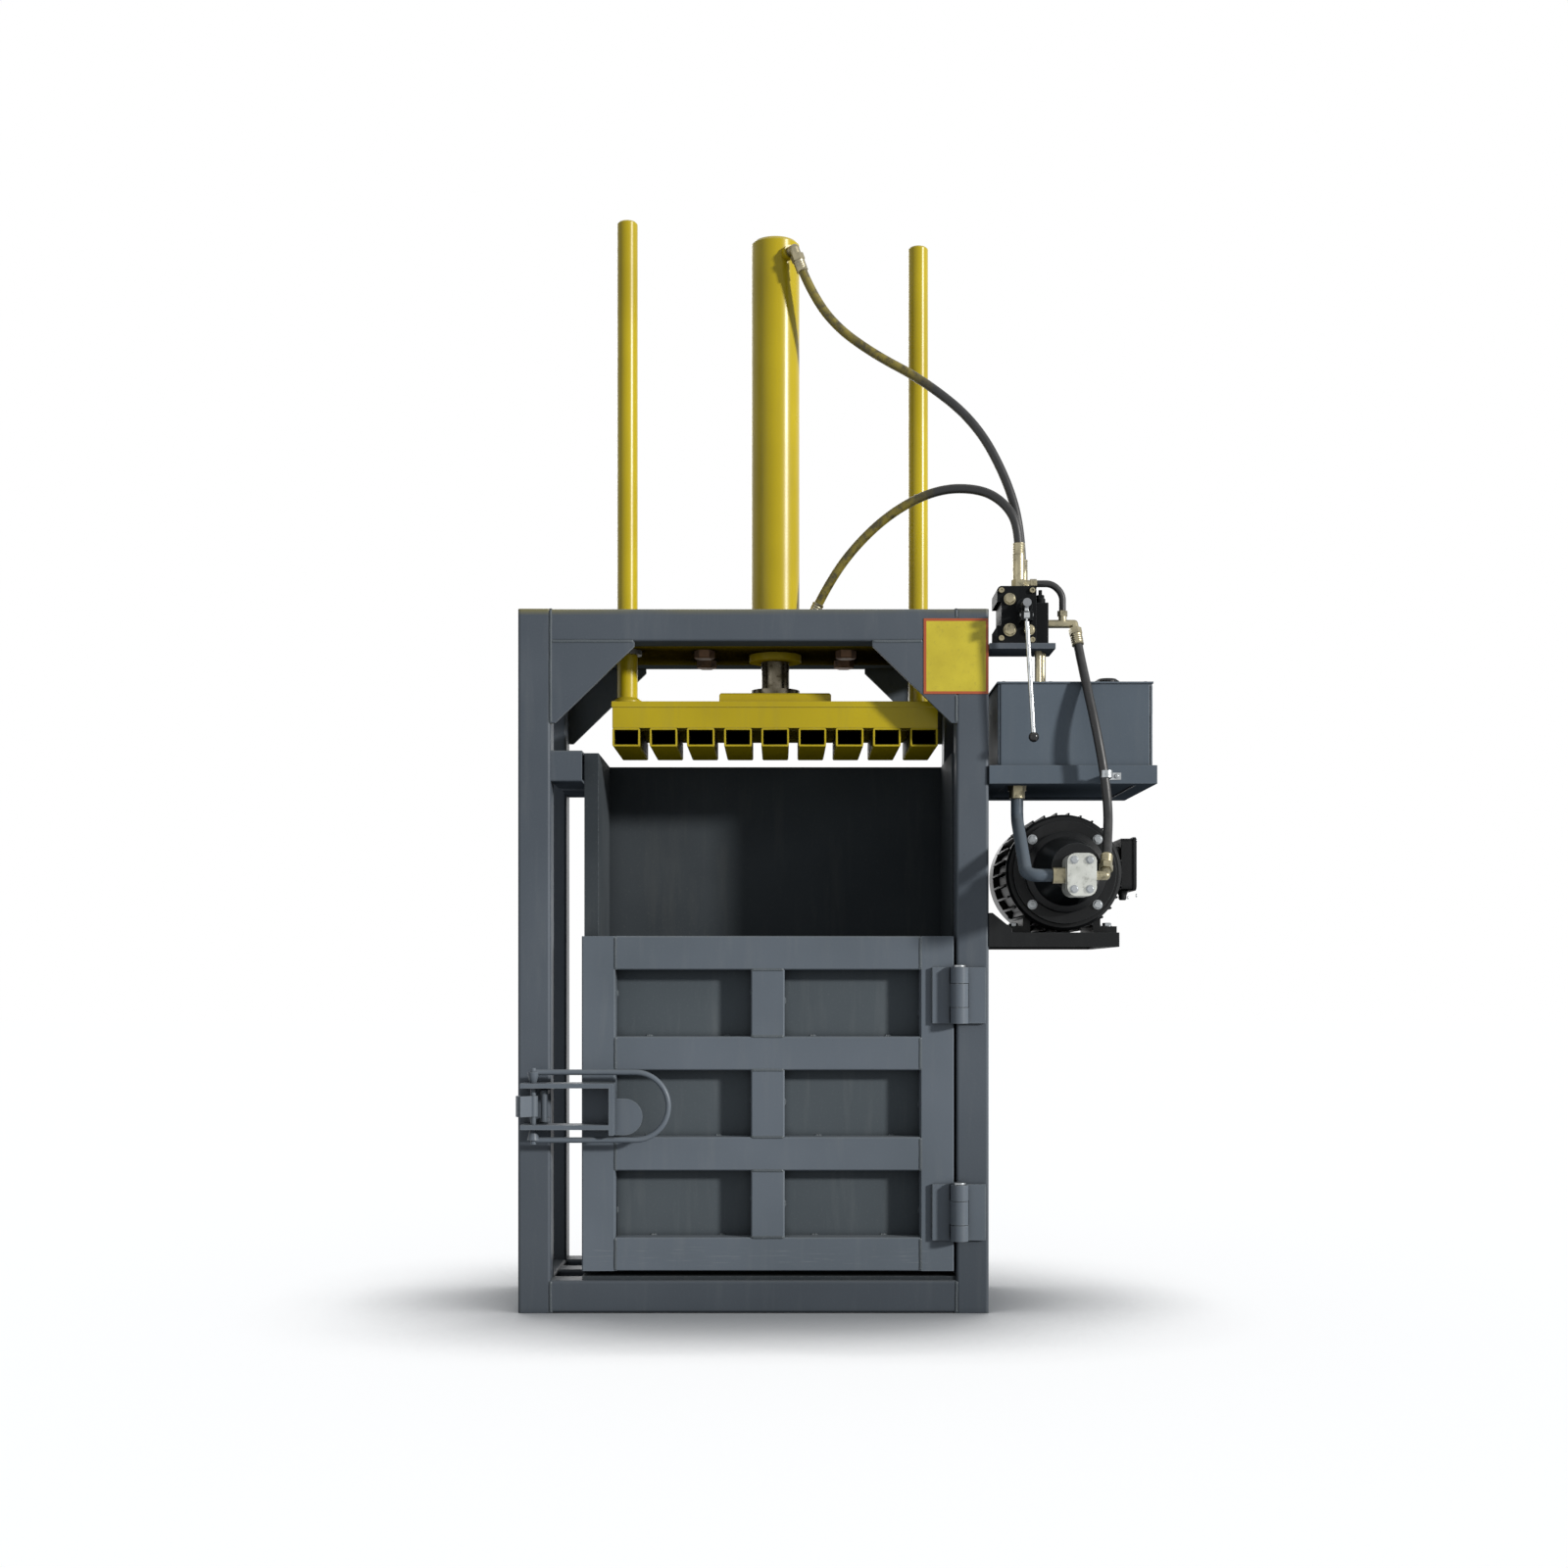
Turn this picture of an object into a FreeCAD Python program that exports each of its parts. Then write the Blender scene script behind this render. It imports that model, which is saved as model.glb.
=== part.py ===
# Vertical recycling baler: welded frame, chamber and door, hydraulic press, power pack.
# Millimetres. Origin: centre of the footprint on the floor. +X right, +Y back, +Z up.

import FreeCAD, Part
import math
import os
import Sketcher
from FreeCAD import Placement, Rotation, Vector

doc = FreeCAD.newDocument("baler")
sheet = doc.addObject("Spreadsheet::Sheet", "sizes")

drivingSizes = {
    # frame
    "frameWidth": 1010,
    "frameDepth": 400,
    "frameHeight": 1510,
    "postSide": 70,
    "postWall": 5,
    "postCorner": 7,
    "gussetWidth": 180,
    "gussetHeight": 175,
    "gussetThickness": 10,
    "gussetNose": 10,
    "deckThickness": 16,
    "plateWidth": 139,
    "plateHeight": 162,
    "plateThickness": 1.5,
    "plateDrop": 183,
    # chamber
    "chamberWidth": 767,
    "chamberTop": 1207,
    "sheetThickness": 5,
    "floorThickness": 8,
    "floorInset": 8,
    "wallRibDepth": 26,
    "sideRibDepth": 40,
    "backRibDepth": 44,
    "ribThickness": 8,
    "tieDepth": 170,
    "tieHeight": 67,
    "tieInset": 5,
    # door
    "doorSideGap": 5,
    "doorBottom": 90,
    "doorHeight": 718,
    "doorMember": 72,
    "doorMemberDepth": 50,
    "doorMemberWall": 4,
    "doorMemberCorner": 2.5,
    "doorSkin": 6,
    "doorSeal": 3,
    # hinges
    "hingeHeight": 120,
    "hingeLow": 217,
    "hingeHigh": 681,
    "hingeKnuckle": 50,
    "hingeGap": 1,
    "hingeOffset": 5,
    "barrelRadius": 19,
    "leafThickness": 10,
    "leafWidth": 57,
    "hingePinRadius": 10,
    "pinHeadRadius": 14,
    "pinHeadHeight": 5,
    # latch
    "latchCentre": 446,
    "latchGap": 78,
    "latchPlate": 10,
    "latchReach": 192,
    "latchDepth": 65,
    "latchTail": 25,
    "postClearance": 3,
    "pivotInset": 38,
    "pivotStandoff": 40,
    "pivotRadius": 6,
    "bailRadius": 6,
    "bailSpread": 144,
    "bailReach": 215,
    "bossRadius": 13,
    "clawInner": 31,
    "clawOuter": 37,
    "clawHeight": 44,
    "clawArc": 65,
    "clawTurn": 155,
    "hubRadius": 10,
    "keeperRadius": 7,
    "keeperAside": 22,
    "keeperBehind": 8,
    "keeperEar": 8,
    "keeperEarWidth": 18,
    "lugRadius": 39,
    "lugReach": 63,
    "lugThickness": 8,
    # platen
    "platenSideGap": 29.5,
    "platenEndGap": 7,
    "platenDrop": 218,
    "platenTubes": 9,
    "platenTubeWidth": 60,
    "platenTubeHeight": 40,
    "platenTubeWall": 4,
    "platenTubeCorner": 2.5,
    "platenBeamHeight": 45,
    "platenBeamWall": 10,
    "platenTopThickness": 13,
    "platenTopOverhang": 2,
    "padLength": 246,
    "padDepth": 180,
    "padThickness": 25,
    "padChamfer": 4,
    # cylinder and guide rods
    "cylinderLength": 885,
    "cylinderRadius": 54,
    "cylinderBore": 45,
    "cylinderCap": 20,
    "cylinderChamfer": 7,
    "flangeLength": 380,
    "flangeDepth": 200,
    "flangeThickness": 24,
    "flangeCorner": 20,
    "noseRadius": 58,
    "noseDrop": 15,
    "pistonRodRadius": 31.5,
    "rodFootRadius": 55,
    "rodFootHeight": 16,
    "pistonLength": 50,
    "pistonTopGap": 10,
    "runningGap": 0.06,
    "pinGap": 0.1,
    "seatGap": 0.2,
    "guideSpread": 326,
    "guideRadius": 22.5,
    "guideLength": 1065,
    "leftGuideInset": 60,
    "rightGuideInset": 45,
    "guideCollar": 34,
    "guideCollarHeight": 8,
    "guideCollarSlope": 8,
    "guideChamfer": 4,
    "bushRadius": 32,
    "bushDrop": 10,
    "bushFlangeRadius": 45,
    "bushFlangeHeight": 9,
    "deckBoltRadius": 13,
    "deckBoltSpanX": 156,
    "deckBoltSpanY": 70,
    "portRadius": 15,
    "portReach": 68,
    "portBore": 5,
    "capPortDrop": 39,
    "capPortTurn": -60,
    "rodPortRise": 20,
    "rodPortTurn": -30,
    # tank
    "tankGap": 21,
    "tankWidth": 329,
    "tankDepth": 392,
    "tankHeight": 212,
    "tankWall": 3,
    "tankCorner": 8,
    "tankLid": 4,
    "lidOverhang": 3,
    "trayDrop": 376,
    "trayWidth": 360,
    "trayDepth": 412,
    "trayLeg": 40,
    "trayWall": 4,
    "fillerInset": 65,
    "fillerRadius": 26,
    "fillerHeight": 34,
    "fillerNeck": 20,
    "fillerNeckHeight": 8,
    "fillerChamfer": 5,
    # motor
    "motorAside": 170,
    "motorDrop": 562,
    "motorHeight": 132,
    "motorFront": -113,
    "motorLength": 220,
    "motorBore": 72,
    "motorRadius": 117,
    "finRadius": 132,
    "finThickness": 4,
    "finCount": 30,
    "shieldLength": 22,
    "shieldRadius": 126,
    "shieldChamfer": 6,
    "shaftClearance": 1,
    "footSpread": 95,
    "footWidth": 52,
    "footLength": 190,
    "footThickness": 16,
    "footWeb": 16,
    "footWebTop": -70,
    "bearingRadius": 40,
    "bearingLength": 16,
    "shaftRadius": 19,
    "rotorRadius": 70,
    "rotorInset": 12,
    "shaftStep": 3,
    "journalReach": 12,
    "cowlLength": 72,
    "cowlWall": 3,
    "cowlLap": 20,
    "cowlChamfer": 10,
    "cowlSlot": 8,
    "cowlInnerSlots": 8,
    "cowlInnerStart": 34,
    "cowlInnerEnd": 62,
    "cowlOuterSlots": 12,
    "cowlOuterStart": 72,
    "cowlOuterEnd": 106,
    "fanRadius": 112,
    "fanHub": 34,
    "fanBlades": 8,
    "fanBlade": 4,
    "fanStandoff": 8,
    "boxWidth": 34,
    "boxLength": 118,
    "boxHeight": 112,
    "boxRise": 22,
    "boxInset": 30,
    "boxCorner": 10,
    "boxLid": 8,
    "boxLidLip": 3,
    "boxSeatWidth": 80,
    "boxSeatHeight": 76,
    "bellFlangeRadius": 112,
    "bellDiscRadius": 88,
    "bellFrontRadius": 52,
    "bellLength": 185,
    "bellWall": 9,
    "bellFlange": 15,
    "bellShoulder": 20,
    "bellShoulderStep": 14,
    "bellBore": 68,
    "bellShaftGap": 4,
    # gear pump
    "pumpWidth": 60,
    "pumpHeight": 88,
    "pumpLength": 80,
    "pumpCorner": 18,
    "pumpJoint": 3,
    "pumpJointDepth": 1.5,
    "gearModule": 3,
    "gearTeeth": 12,
    "gearWidth": 24,
    "gearShaft": 9,
    "gearStub": 12,
    "gearGap": 0.4,
    "portRise": -18,
    # shelf under the motor
    "shelfLength": 280,
    "shelfThickness": 8,
    "shelfApron": 23,
    "braceLength": 50,
    "braceHeight": 42,
    "braceThickness": 8,
    "braceNose": 8,
    # valve
    "valveShelfLength": 141,
    "valveShelfThickness": 12,
    "valveDrop": 76,
    "valveGap": 16,
    "valveWidth": 84,
    "valveHeight": 122,
    "valveFront": -215,
    "valveDepth": 110,
    "valveCorner": 10,
    "valveCapRadius": 17,
    "valveCapFront": 14,
    "valveCapBack": 40,
    "valveWaist": 9,
    "valveWaistLow": 37,
    "valveWaistHigh": 88,
    "spoolAside": 57,
    "spoolRise": 76,
    "spoolRadius": 9,
    "leverArm": 25,
    "leverStandoff": 47,
    "leverHub": 9,
    "leverHubWidth": 12,
    "leverPin": 4,
    "leverRadius": 5,
    "leverArmWidth": 8,
    "leverArmDepth": 6,
    "leverPinEnd": 2,
    "leverLength": 250,
    "leverLean": 3.4,
    "leverTipRadius": 5,
    "leverSlotGap": 0.4,
    "knobRadius": 11,
    "knobSink": 3,
    "earThickness": 6,
    "earHeight": 20,
    "earDrop": 12,
    "earReach": 10,
    "reliefWidth": 30,
    "reliefDepth": 50,
    "reliefHeight": 92,
    "reliefCorner": 3,
    "reliefCap": 11,
    "reliefCapHeight": 12,
    "reliefNut": 9,
    "reliefNutHeight": 8,
    "reliefScrew": 4,
    "reliefScrewHeight": 11,
    "pipeRadius": 8,
    "pipeAside": 5.5,
    "pipeApart": 14,
    "pipeDip": 60,
    # hoses and fittings
    "hoseRadius": 10,
    "suctionRadius": 13.5,
    "loopRadius": 7.5,
    "fittingRadius": 13,
    "fittingNut": 16,
    "fittingNutLength": 14,
    "topNutLength": 18,
    "capNippleAside": 5,
    "capNippleBehind": 27,
    "capNippleRise": 46,
    "rodNippleAside": -7,
    "rodNippleBefore": 24,
    "rodNippleRise": 72,
    "elbowReach": 17,
    "elbowLeg": 28,
    "elbowRadius": 11,
    "elbowNut": 15,
    "teeReach": 58,
    "teeRise": 50,
    "teeRadius": 9,
    "teeNut": 14,
    "teeLeg": 26,
    "loopRise": 15,
    "loopDrop": 28,
    "loopInset": 15,
    "loopReach": 63,
    "loopLeg": 22,
    "loopElbow": 8,
    "loopNut": 10.5,
    "loopNutLength": 12,
    "pumpReach": 24,
    "pumpElbow": 10,
    "suctionFitting": 17,
    "suctionReach": 25,
    "suctionFlange": 20,
    "suctionDrop": 30,
    "suctionFall": 46,
    "suctionAside": 67,
    "suctionInset": 64,
    "suctionKnee": 61,
    # bolts
    "boltHeadSpan": 22.75,
    "boltHead": 18,
    "boltNut": 17,
    "boltRise": 26,
    "footBolt": 10,
    "footBoltHead": 8,
    "footBoltSpan": 70,
    "footBoltAside": 8,
    "bellBolt": 9,
    "bellBoltHead": 7,
    "pumpBolt": 7,
    "pumpBoltHead": 6,
    "pumpBoltInset": 14,
}


class Size:
    # A length that knows both its number and how the sheet spells it.

    def __init__(self, value, text):
        self.value = value
        self.text = text

    def __float__(self):
        return float(self.value)

    def __neg__(self):
        return Size(-self.value, f"(-{self.text})")

    def __add__(self, other):
        return joined(self, "+", other, self.value + float(other))

    def __radd__(self, other):
        return joined(other, "+", self, float(other) + self.value)

    def __sub__(self, other):
        return joined(self, "-", other, self.value - float(other))

    def __rsub__(self, other):
        return joined(other, "-", self, float(other) - self.value)

    def __mul__(self, other):
        return joined(self, "*", other, self.value * float(other))

    def __rmul__(self, other):
        return joined(other, "*", self, float(other) * self.value)

    def __truediv__(self, other):
        return joined(self, "/", other, self.value / float(other))


def textOf(size):
    return size.text if isinstance(size, Size) else f"{size:.6f}"


def joined(left, sign, right, value):
    return Size(value, f"({textOf(left)} {sign} {textOf(right)})")


def cosine(turn):
    return Size(math.cos(math.radians(float(turn))), f"cos({textOf(turn)} * 1deg)")


def sine(turn):
    return Size(math.sin(math.radians(float(turn))), f"sin({textOf(turn)} * 1deg)")


class Sizes:
    pass


sizes = Sizes()
for row, (name, value) in enumerate(drivingSizes.items(), 1):
    sheet.set(f"A{row}", name)
    sheet.set(f"B{row}", str(value))
    sheet.setAlias(f"B{row}", name)
    setattr(sizes, name, Size(value, f"sizes.{name}"))
doc.recompute()

nodes = []


# Modelling helpers.

def bind(thing, **links):
    for name, expression in links.items():
        thing.setExpression(name, textOf(expression))
    return thing


def place(thing, x=0, y=0, z=0, turn=None):
    if turn:
        thing.Placement = Placement(Vector(), turn)
    for axis, expression in zip("xyz", (x, y, z)):
        thing.setExpression(f"Placement.Base.{axis}", textOf(expression))
    return thing


def node(label, thing):
    thing.Label = label
    nodes.append(thing)
    return thing


alongAxis = {
    "X": Rotation(Vector(0, 1, 0), 90),
    "Y": Rotation(Vector(1, 0, 0), -90),
    "Z": Rotation(),
    "-X": Rotation(Vector(0, 1, 0), -90),
    "-Y": Rotation(Vector(1, 0, 0), 90),
    "-Z": Rotation(Vector(1, 0, 0), 180),
}


def box(x, y, z, length, width, height):
    solid = doc.addObject("Part::Box", "block")
    bind(solid, Length=length, Width=width, Height=height)
    return place(solid, x, y, z)


def rod(x, y, z, radius, length, axis="Z"):
    solid = doc.addObject("Part::Cylinder", "rod")
    bind(solid, Radius=radius, Height=length)
    return place(solid, x, y, z, alongAxis[axis] if isinstance(axis, str) else axis)


def ball(x, y, z, radius):
    solid = doc.addObject("Part::Sphere", "ball")
    bind(solid, Radius=radius)
    return place(solid, x, y, z)


def cone(x, y, z, radius, endRadius, length, axis="Z"):
    solid = doc.addObject("Part::Cone", "cone")
    bind(solid, Radius1=radius, Radius2=endRadius, Height=length)
    return place(solid, x, y, z, alongAxis[axis])


def hexPrism(x, y, z, radius, length, axis="Z"):
    solid = doc.addObject("Part::Prism", "hexagon")
    solid.Polygon = 6
    bind(solid, Circumradius=radius, Height=length)
    return place(solid, x, y, z, alongAxis[axis] if isinstance(axis, str) else axis)


def fuse(*shapes):
    union = doc.addObject("Part::MultiFuse", "union")
    union.Shapes = list(shapes)
    return union


def cut(base, *tools):
    remainder = doc.addObject("Part::Cut", "cut")
    remainder.Base = base
    remainder.Tool = tools[0] if len(tools) == 1 else fuse(*tools)
    return remainder


def group(*shapes):
    together = doc.addObject("Part::Compound", "group")
    together.Links = list(shapes)
    return together


def rectangle(left, bottom, right, top):
    return [(left, bottom), (right, bottom), (right, top), (left, top)]


def centred(width, height):
    return rectangle(-width / 2, -height / 2, width / 2, height / 2)


def newSketch(body, role, offset=0):
    sketch = body.newObject("Sketcher::SketchObject", "profile")
    plane = next(feature for feature in body.Origin.OriginFeatures if feature.Role == role)
    sketch.AttachmentSupport = (plane, [""])
    sketch.MapMode = "FlatFace"
    sketch.setExpression("AttachmentOffset.Base.z", textOf(offset))
    return sketch


def pin(sketch, element, point, axis, expression):
    constraint = Sketcher.Constraint(
        "Distance" + axis, -1, 1, element, point, float(expression))
    index = sketch.addConstraint(constraint)
    sketch.setExpression(f"Constraints[{index}]", textOf(expression))


def outline(sketch, points):
    spots = [Vector(float(x), float(y), 0) for x, y in points]
    first = sketch.GeometryCount
    count = len(spots)
    for index, spot in enumerate(spots):
        sketch.addGeometry(Part.LineSegment(spot, spots[(index + 1) % count]), False)
    for index in range(count):
        following = first + (index + 1) % count
        sketch.addConstraint(Sketcher.Constraint("Coincident", first + index, 2, following, 1))
    for index, (x, y) in enumerate(points):
        pin(sketch, first + index, 1, "X", x)
        pin(sketch, first + index, 1, "Y", y)


def hole(sketch, x, y, radius):
    centre = Vector(float(x), float(y), 0)
    circle = sketch.addGeometry(Part.Circle(centre, Vector(0, 0, 1), float(radius)), False)
    pin(sketch, circle, 3, "X", x)
    pin(sketch, circle, 3, "Y", y)
    index = sketch.addConstraint(Sketcher.Constraint("Radius", circle, float(radius)))
    sketch.setExpression(f"Constraints[{index}]", textOf(radius))


planes = {"X": "YZ_Plane", "Y": "XZ_Plane", "Z": "XY_Plane"}


def pad(body, axis, loops, length, holes=(), offset=0):
    # The XZ plane faces -Y, so a pad on it is reversed to grow towards +Y.
    sketch = newSketch(body, planes[axis], -(offset) if axis == "Y" else offset)
    for points in loops:
        outline(sketch, points)
    for circle in holes:
        hole(sketch, *circle)
    feature = body.newObject("PartDesign::Pad", "pad")
    feature.Profile = sketch
    feature.Reversed = axis == "Y"
    return bind(feature, Length=length)


def pocket(body, axis, loops, length, holes=(), offset=0):
    # A pocket cuts against the pad's direction, so it is turned to cut towards plus.
    sketch = newSketch(body, planes[axis], -(offset) if axis == "Y" else offset)
    for points in loops:
        outline(sketch, points)
    for circle in holes:
        hole(sketch, *circle)
    feature = body.newObject("PartDesign::Pocket", "pocket")
    feature.Profile = sketch
    feature.Reversed = axis != "Y"
    return bind(feature, Length=length)


def newBody(x=0, y=0, z=0, turn=None):
    return place(doc.addObject("PartDesign::Body", "body"), x, y, z, turn)


def plate(axis, points, thickness, x=0, y=0, z=0, holes=()):
    body = newBody(x, y, z)
    pad(body, axis, [points], thickness, holes)
    return body


def roundEdges(body, radius, chooser, kind="Fillet"):
    doc.recompute()
    base = body.Tip
    names = [f"Edge{index}" for index, edge in enumerate(base.Shape.Edges, 1) if chooser(edge)]
    feature = body.newObject(f"PartDesign::{kind}", "rounding")
    feature.Base = (base, names)
    return bind(feature, **{"Radius" if kind == "Fillet" else "Size": radius})


def repeat(body, feature, length, count):
    # A steady row of one feature along its own sketch's normal.
    pattern = body.newObject("PartDesign::LinearPattern", "row")
    pattern.Originals = [feature]
    pattern.Direction = (feature.Profile[0], ["N_Axis"])
    pattern.Occurrences = count
    bind(pattern, Length=length)
    body.Tip = pattern
    return pattern


def ring(body, feature, count, axis="N_Axis"):
    pattern = body.newObject("PartDesign::PolarPattern", "ring")
    pattern.Originals = [feature]
    pattern.Axis = (feature.Profile[0], [axis])
    pattern.Angle = 360
    pattern.Occurrences = int(count)
    body.Tip = pattern
    return pattern


def squareTube(axis, wide, high, wall, corner, length, x, y, z, kind="Fillet"):
    body = newBody(x, y, z)
    inside = centred(wide - 2 * wall, high - 2 * wall)
    pad(body, axis, [centred(wide, high), inside], length)
    run = "XYZ".index(axis)
    across = [index for index in range(3) if index != run]
    limits = (float(wide) / 2, float(high) / 2)

    def onCorner(edge):
        centre = edge.CenterOfMass
        return (abs(edge.Length - float(length)) < 0.001
                and abs(abs(centre[across[0]]) - limits[0]) < 0.001
                and abs(abs(centre[across[1]]) - limits[1]) < 0.001)

    roundEdges(body, corner, onCorner, kind)
    return body


def turned(points, x=0, y=0, z=0, axis="Z"):
    body = newBody(x, y, z, alongAxis[axis])
    sketch = newSketch(body, "XZ_Plane")
    outline(sketch, points)
    feature = body.newObject("PartDesign::Revolution", "turning")
    feature.Profile = sketch
    feature.ReferenceAxis = (sketch, ["V_Axis"])
    feature.Angle = 360
    return body


# Places worked out from the sizes.

sideFace = sizes.frameWidth / 2
postInner = sizes.frameWidth / 2 - sizes.postSide
postMiddle = sizes.frameWidth / 2 - sizes.postSide / 2
backFace = sizes.frameDepth / 2
frontFace = -sizes.frameDepth / 2
beamMiddle = sizes.frameDepth / 2 - sizes.postSide / 2
beamInner = sizes.frameDepth / 2 - sizes.postSide
deckBottom = sizes.frameHeight - sizes.postSide
deckTop = deckBottom + sizes.deckThickness

chamberRight = postInner - sizes.sheetThickness
chamberLeft = chamberRight - sizes.chamberWidth
chamberMiddle = chamberRight - sizes.chamberWidth / 2
wallOutside = chamberLeft - sizes.sheetThickness - sizes.wallRibDepth
doorBack = frontFace + sizes.doorMemberDepth + sizes.doorSkin
wallFront = doorBack + sizes.doorSeal
wallBack = backFace - sizes.backRibDepth - sizes.sheetThickness
floorTop = sizes.postSide + sizes.floorThickness
wallHeight = sizes.chamberTop - floorTop

doorRight = postInner - sizes.doorSideGap
doorWidth = doorRight - wallOutside
hingeX = postInner + sizes.hingeOffset
hingeY = frontFace - sizes.barrelRadius - sizes.hingeGap

pivotX = sizes.pivotInset - sizes.frameWidth / 2
pivotY = frontFace - sizes.pivotStandoff
keeperX = pivotX + sizes.keeperAside
keeperY = pivotY + sizes.keeperBehind
latchInner = sizes.latchGap / 2

platenRest = deckBottom - sizes.platenDrop
platenWidth = sizes.chamberWidth - 2 * sizes.platenSideGap
platenFront = doorBack + sizes.platenEndGap
platenDepth = wallBack - sizes.platenEndGap - platenFront
platenMiddle = platenFront + platenDepth / 2
beamBottom = platenRest + sizes.platenTubeHeight
platenTop = beamBottom + sizes.platenBeamHeight + sizes.platenTopThickness
padTop = platenTop + sizes.padThickness
guideTop = platenTop + sizes.guideLength
flangeTop = deckTop + sizes.flangeThickness
cylinderTop = flangeTop + sizes.cylinderLength
capPortZ = cylinderTop - sizes.capPortDrop
rodPortZ = flangeTop + sizes.rodPortRise

tankX = sideFace + sizes.tankGap + sizes.tankWidth / 2
fillerX = tankX + sizes.tankWidth / 2 - sizes.fillerInset
trayBottom = sizes.frameHeight - sizes.trayDrop
tankBottom = trayBottom + sizes.trayWall
tankTop = tankBottom + sizes.tankHeight
lidTop = tankTop + sizes.tankLid

motorX = sideFace + sizes.motorAside
motorZ = sizes.frameHeight - sizes.motorDrop
footZ = motorZ - sizes.motorHeight
shelfBottom = footZ - sizes.shelfThickness
motorBack = sizes.motorFront + sizes.motorLength
shieldFront = sizes.motorFront - sizes.shieldLength
bellFront = shieldFront - sizes.bellLength
pumpFront = bellFront - sizes.pumpLength
pitchRadius = sizes.gearModule * sizes.gearTeeth / 2
tipRadius = pitchRadius + sizes.gearModule
gearCentre = 2 * pitchRadius
idlerZ = motorZ - gearCentre
pumpMiddle = motorZ - pitchRadius
gearStart = bellFront - sizes.pumpLength / 2 - sizes.gearWidth / 2
portZ = motorZ + sizes.portRise
portY = bellFront - sizes.pumpLength / 2

valveLeft = sideFace + sizes.valveGap
valveBase = sizes.frameHeight - sizes.valveDrop
spoolX = valveLeft + sizes.spoolAside
spoolZ = valveBase + sizes.spoolRise
leverZ = spoolZ - sizes.leverArm
leverY = sizes.valveFront - sizes.leverStandoff
valveTop = valveBase + sizes.valveHeight
valveMiddleY = sizes.valveFront + sizes.valveDepth / 2
valveRight = valveLeft + sizes.valveWidth
capHoseY = valveMiddleY + sizes.capNippleBehind
rodHoseY = valveMiddleY - sizes.rodNippleBefore


# The frame.

def frameTube(axis, length, x, y, z):
    return squareTube(axis, sizes.postSide, sizes.postSide, sizes.postWall,
                      sizes.postCorner, length, x, y, z)


def shut(tube, x, y, z, wide, deep, high, wall):
    # An upright tube, shut at its foot and its head by a plate let into the wall's middle.
    across, along = (wide - wall, deep - wall)
    ends = [box(x - across / 2, y - along / 2, end, across, along, wall)
            for end in (z, z + high - wall)]
    return fuse(tube, *ends)


def post(x, y):
    return shut(frameTube("Z", sizes.frameHeight, x, y, 0), x, y, 0, sizes.postSide,
                sizes.postSide, sizes.frameHeight, sizes.postWall)


def makeFrame():
    for label, y in (("front_posts", -beamMiddle), ("rear_posts", beamMiddle)):
        node(label, group(*[post(x, y) for x in (-postMiddle, postMiddle)]))

    high = sizes.frameHeight - sizes.postSide / 2
    low = sizes.postSide / 2
    span = 2 * postInner
    rows = (("top_beams", high, (-beamMiddle, beamMiddle)),
            ("base_beams", low, (-beamMiddle, 0, beamMiddle)))
    for label, z, depths in rows:
        node(label, group(*[frameTube("X", span, -postInner, y, z) for y in depths]))

    rails = [frameTube("Y", 2 * beamInner, x, -beamInner, z)
             for x in (-postMiddle, postMiddle) for z in (low, high)]
    node("side_rails", group(*rails))

    gussets = []
    for side in (1, -1):
        inner = -side * postInner
        tip = inner + side * sizes.gussetWidth
        nose = inner + side * sizes.gussetNose
        reach = [(inner, deckBottom), (tip, deckBottom), (tip, deckBottom - sizes.gussetNose),
                 (nose, deckBottom - sizes.gussetHeight),
                 (inner, deckBottom - sizes.gussetHeight)]
        for y in (frontFace, backFace - sizes.gussetThickness):
            gussets.append(plate("Y", reach, sizes.gussetThickness, y=y))
    node("corner_gussets", group(*gussets))


def deckBolts():
    return [(chamberMiddle + dx * sizes.deckBoltSpanX, dy * sizes.deckBoltSpanY)
            for dx in (-1, 1) for dy in (-1, 1)]


def guides():
    return [(chamberMiddle - sizes.guideSpread, sizes.leftGuideInset - beamInner),
            (chamberMiddle + sizes.guideSpread, beamInner - sizes.rightGuideInset)]


def makeDeck():
    holes = [(chamberMiddle, 0, sizes.noseRadius + sizes.seatGap)]
    holes += [(x, y, sizes.bushRadius + sizes.seatGap) for x, y in guides()]
    holes += [(x, y, sizes.deckBoltRadius + sizes.seatGap) for x, y in deckBolts()]
    deck = rectangle(-postInner, -beamInner, postInner, beamInner)
    node("top_deck", plate("Z", deck, sizes.deckThickness, z=deckBottom, holes=holes))

    bore = sizes.guideRadius + sizes.runningGap
    low = -sizes.deckThickness - sizes.bushDrop
    profile = [(bore, low), (sizes.bushRadius, low), (sizes.bushRadius, 0),
               (sizes.bushFlangeRadius, 0), (sizes.bushFlangeRadius, sizes.bushFlangeHeight),
               (bore, sizes.bushFlangeHeight)]
    node("guide_bushes", group(*[turned(profile, x, y, deckTop) for x, y in guides()]))

    corner = sideFace - 1
    sign = rectangle(corner - sizes.plateWidth, 0, corner, sizes.plateHeight)
    node("front_plate", plate("Y", sign, sizes.plateThickness,
                              y=frontFace - sizes.plateThickness, z=sizes.frameHeight - sizes.plateDrop))


# The chamber.

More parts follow.
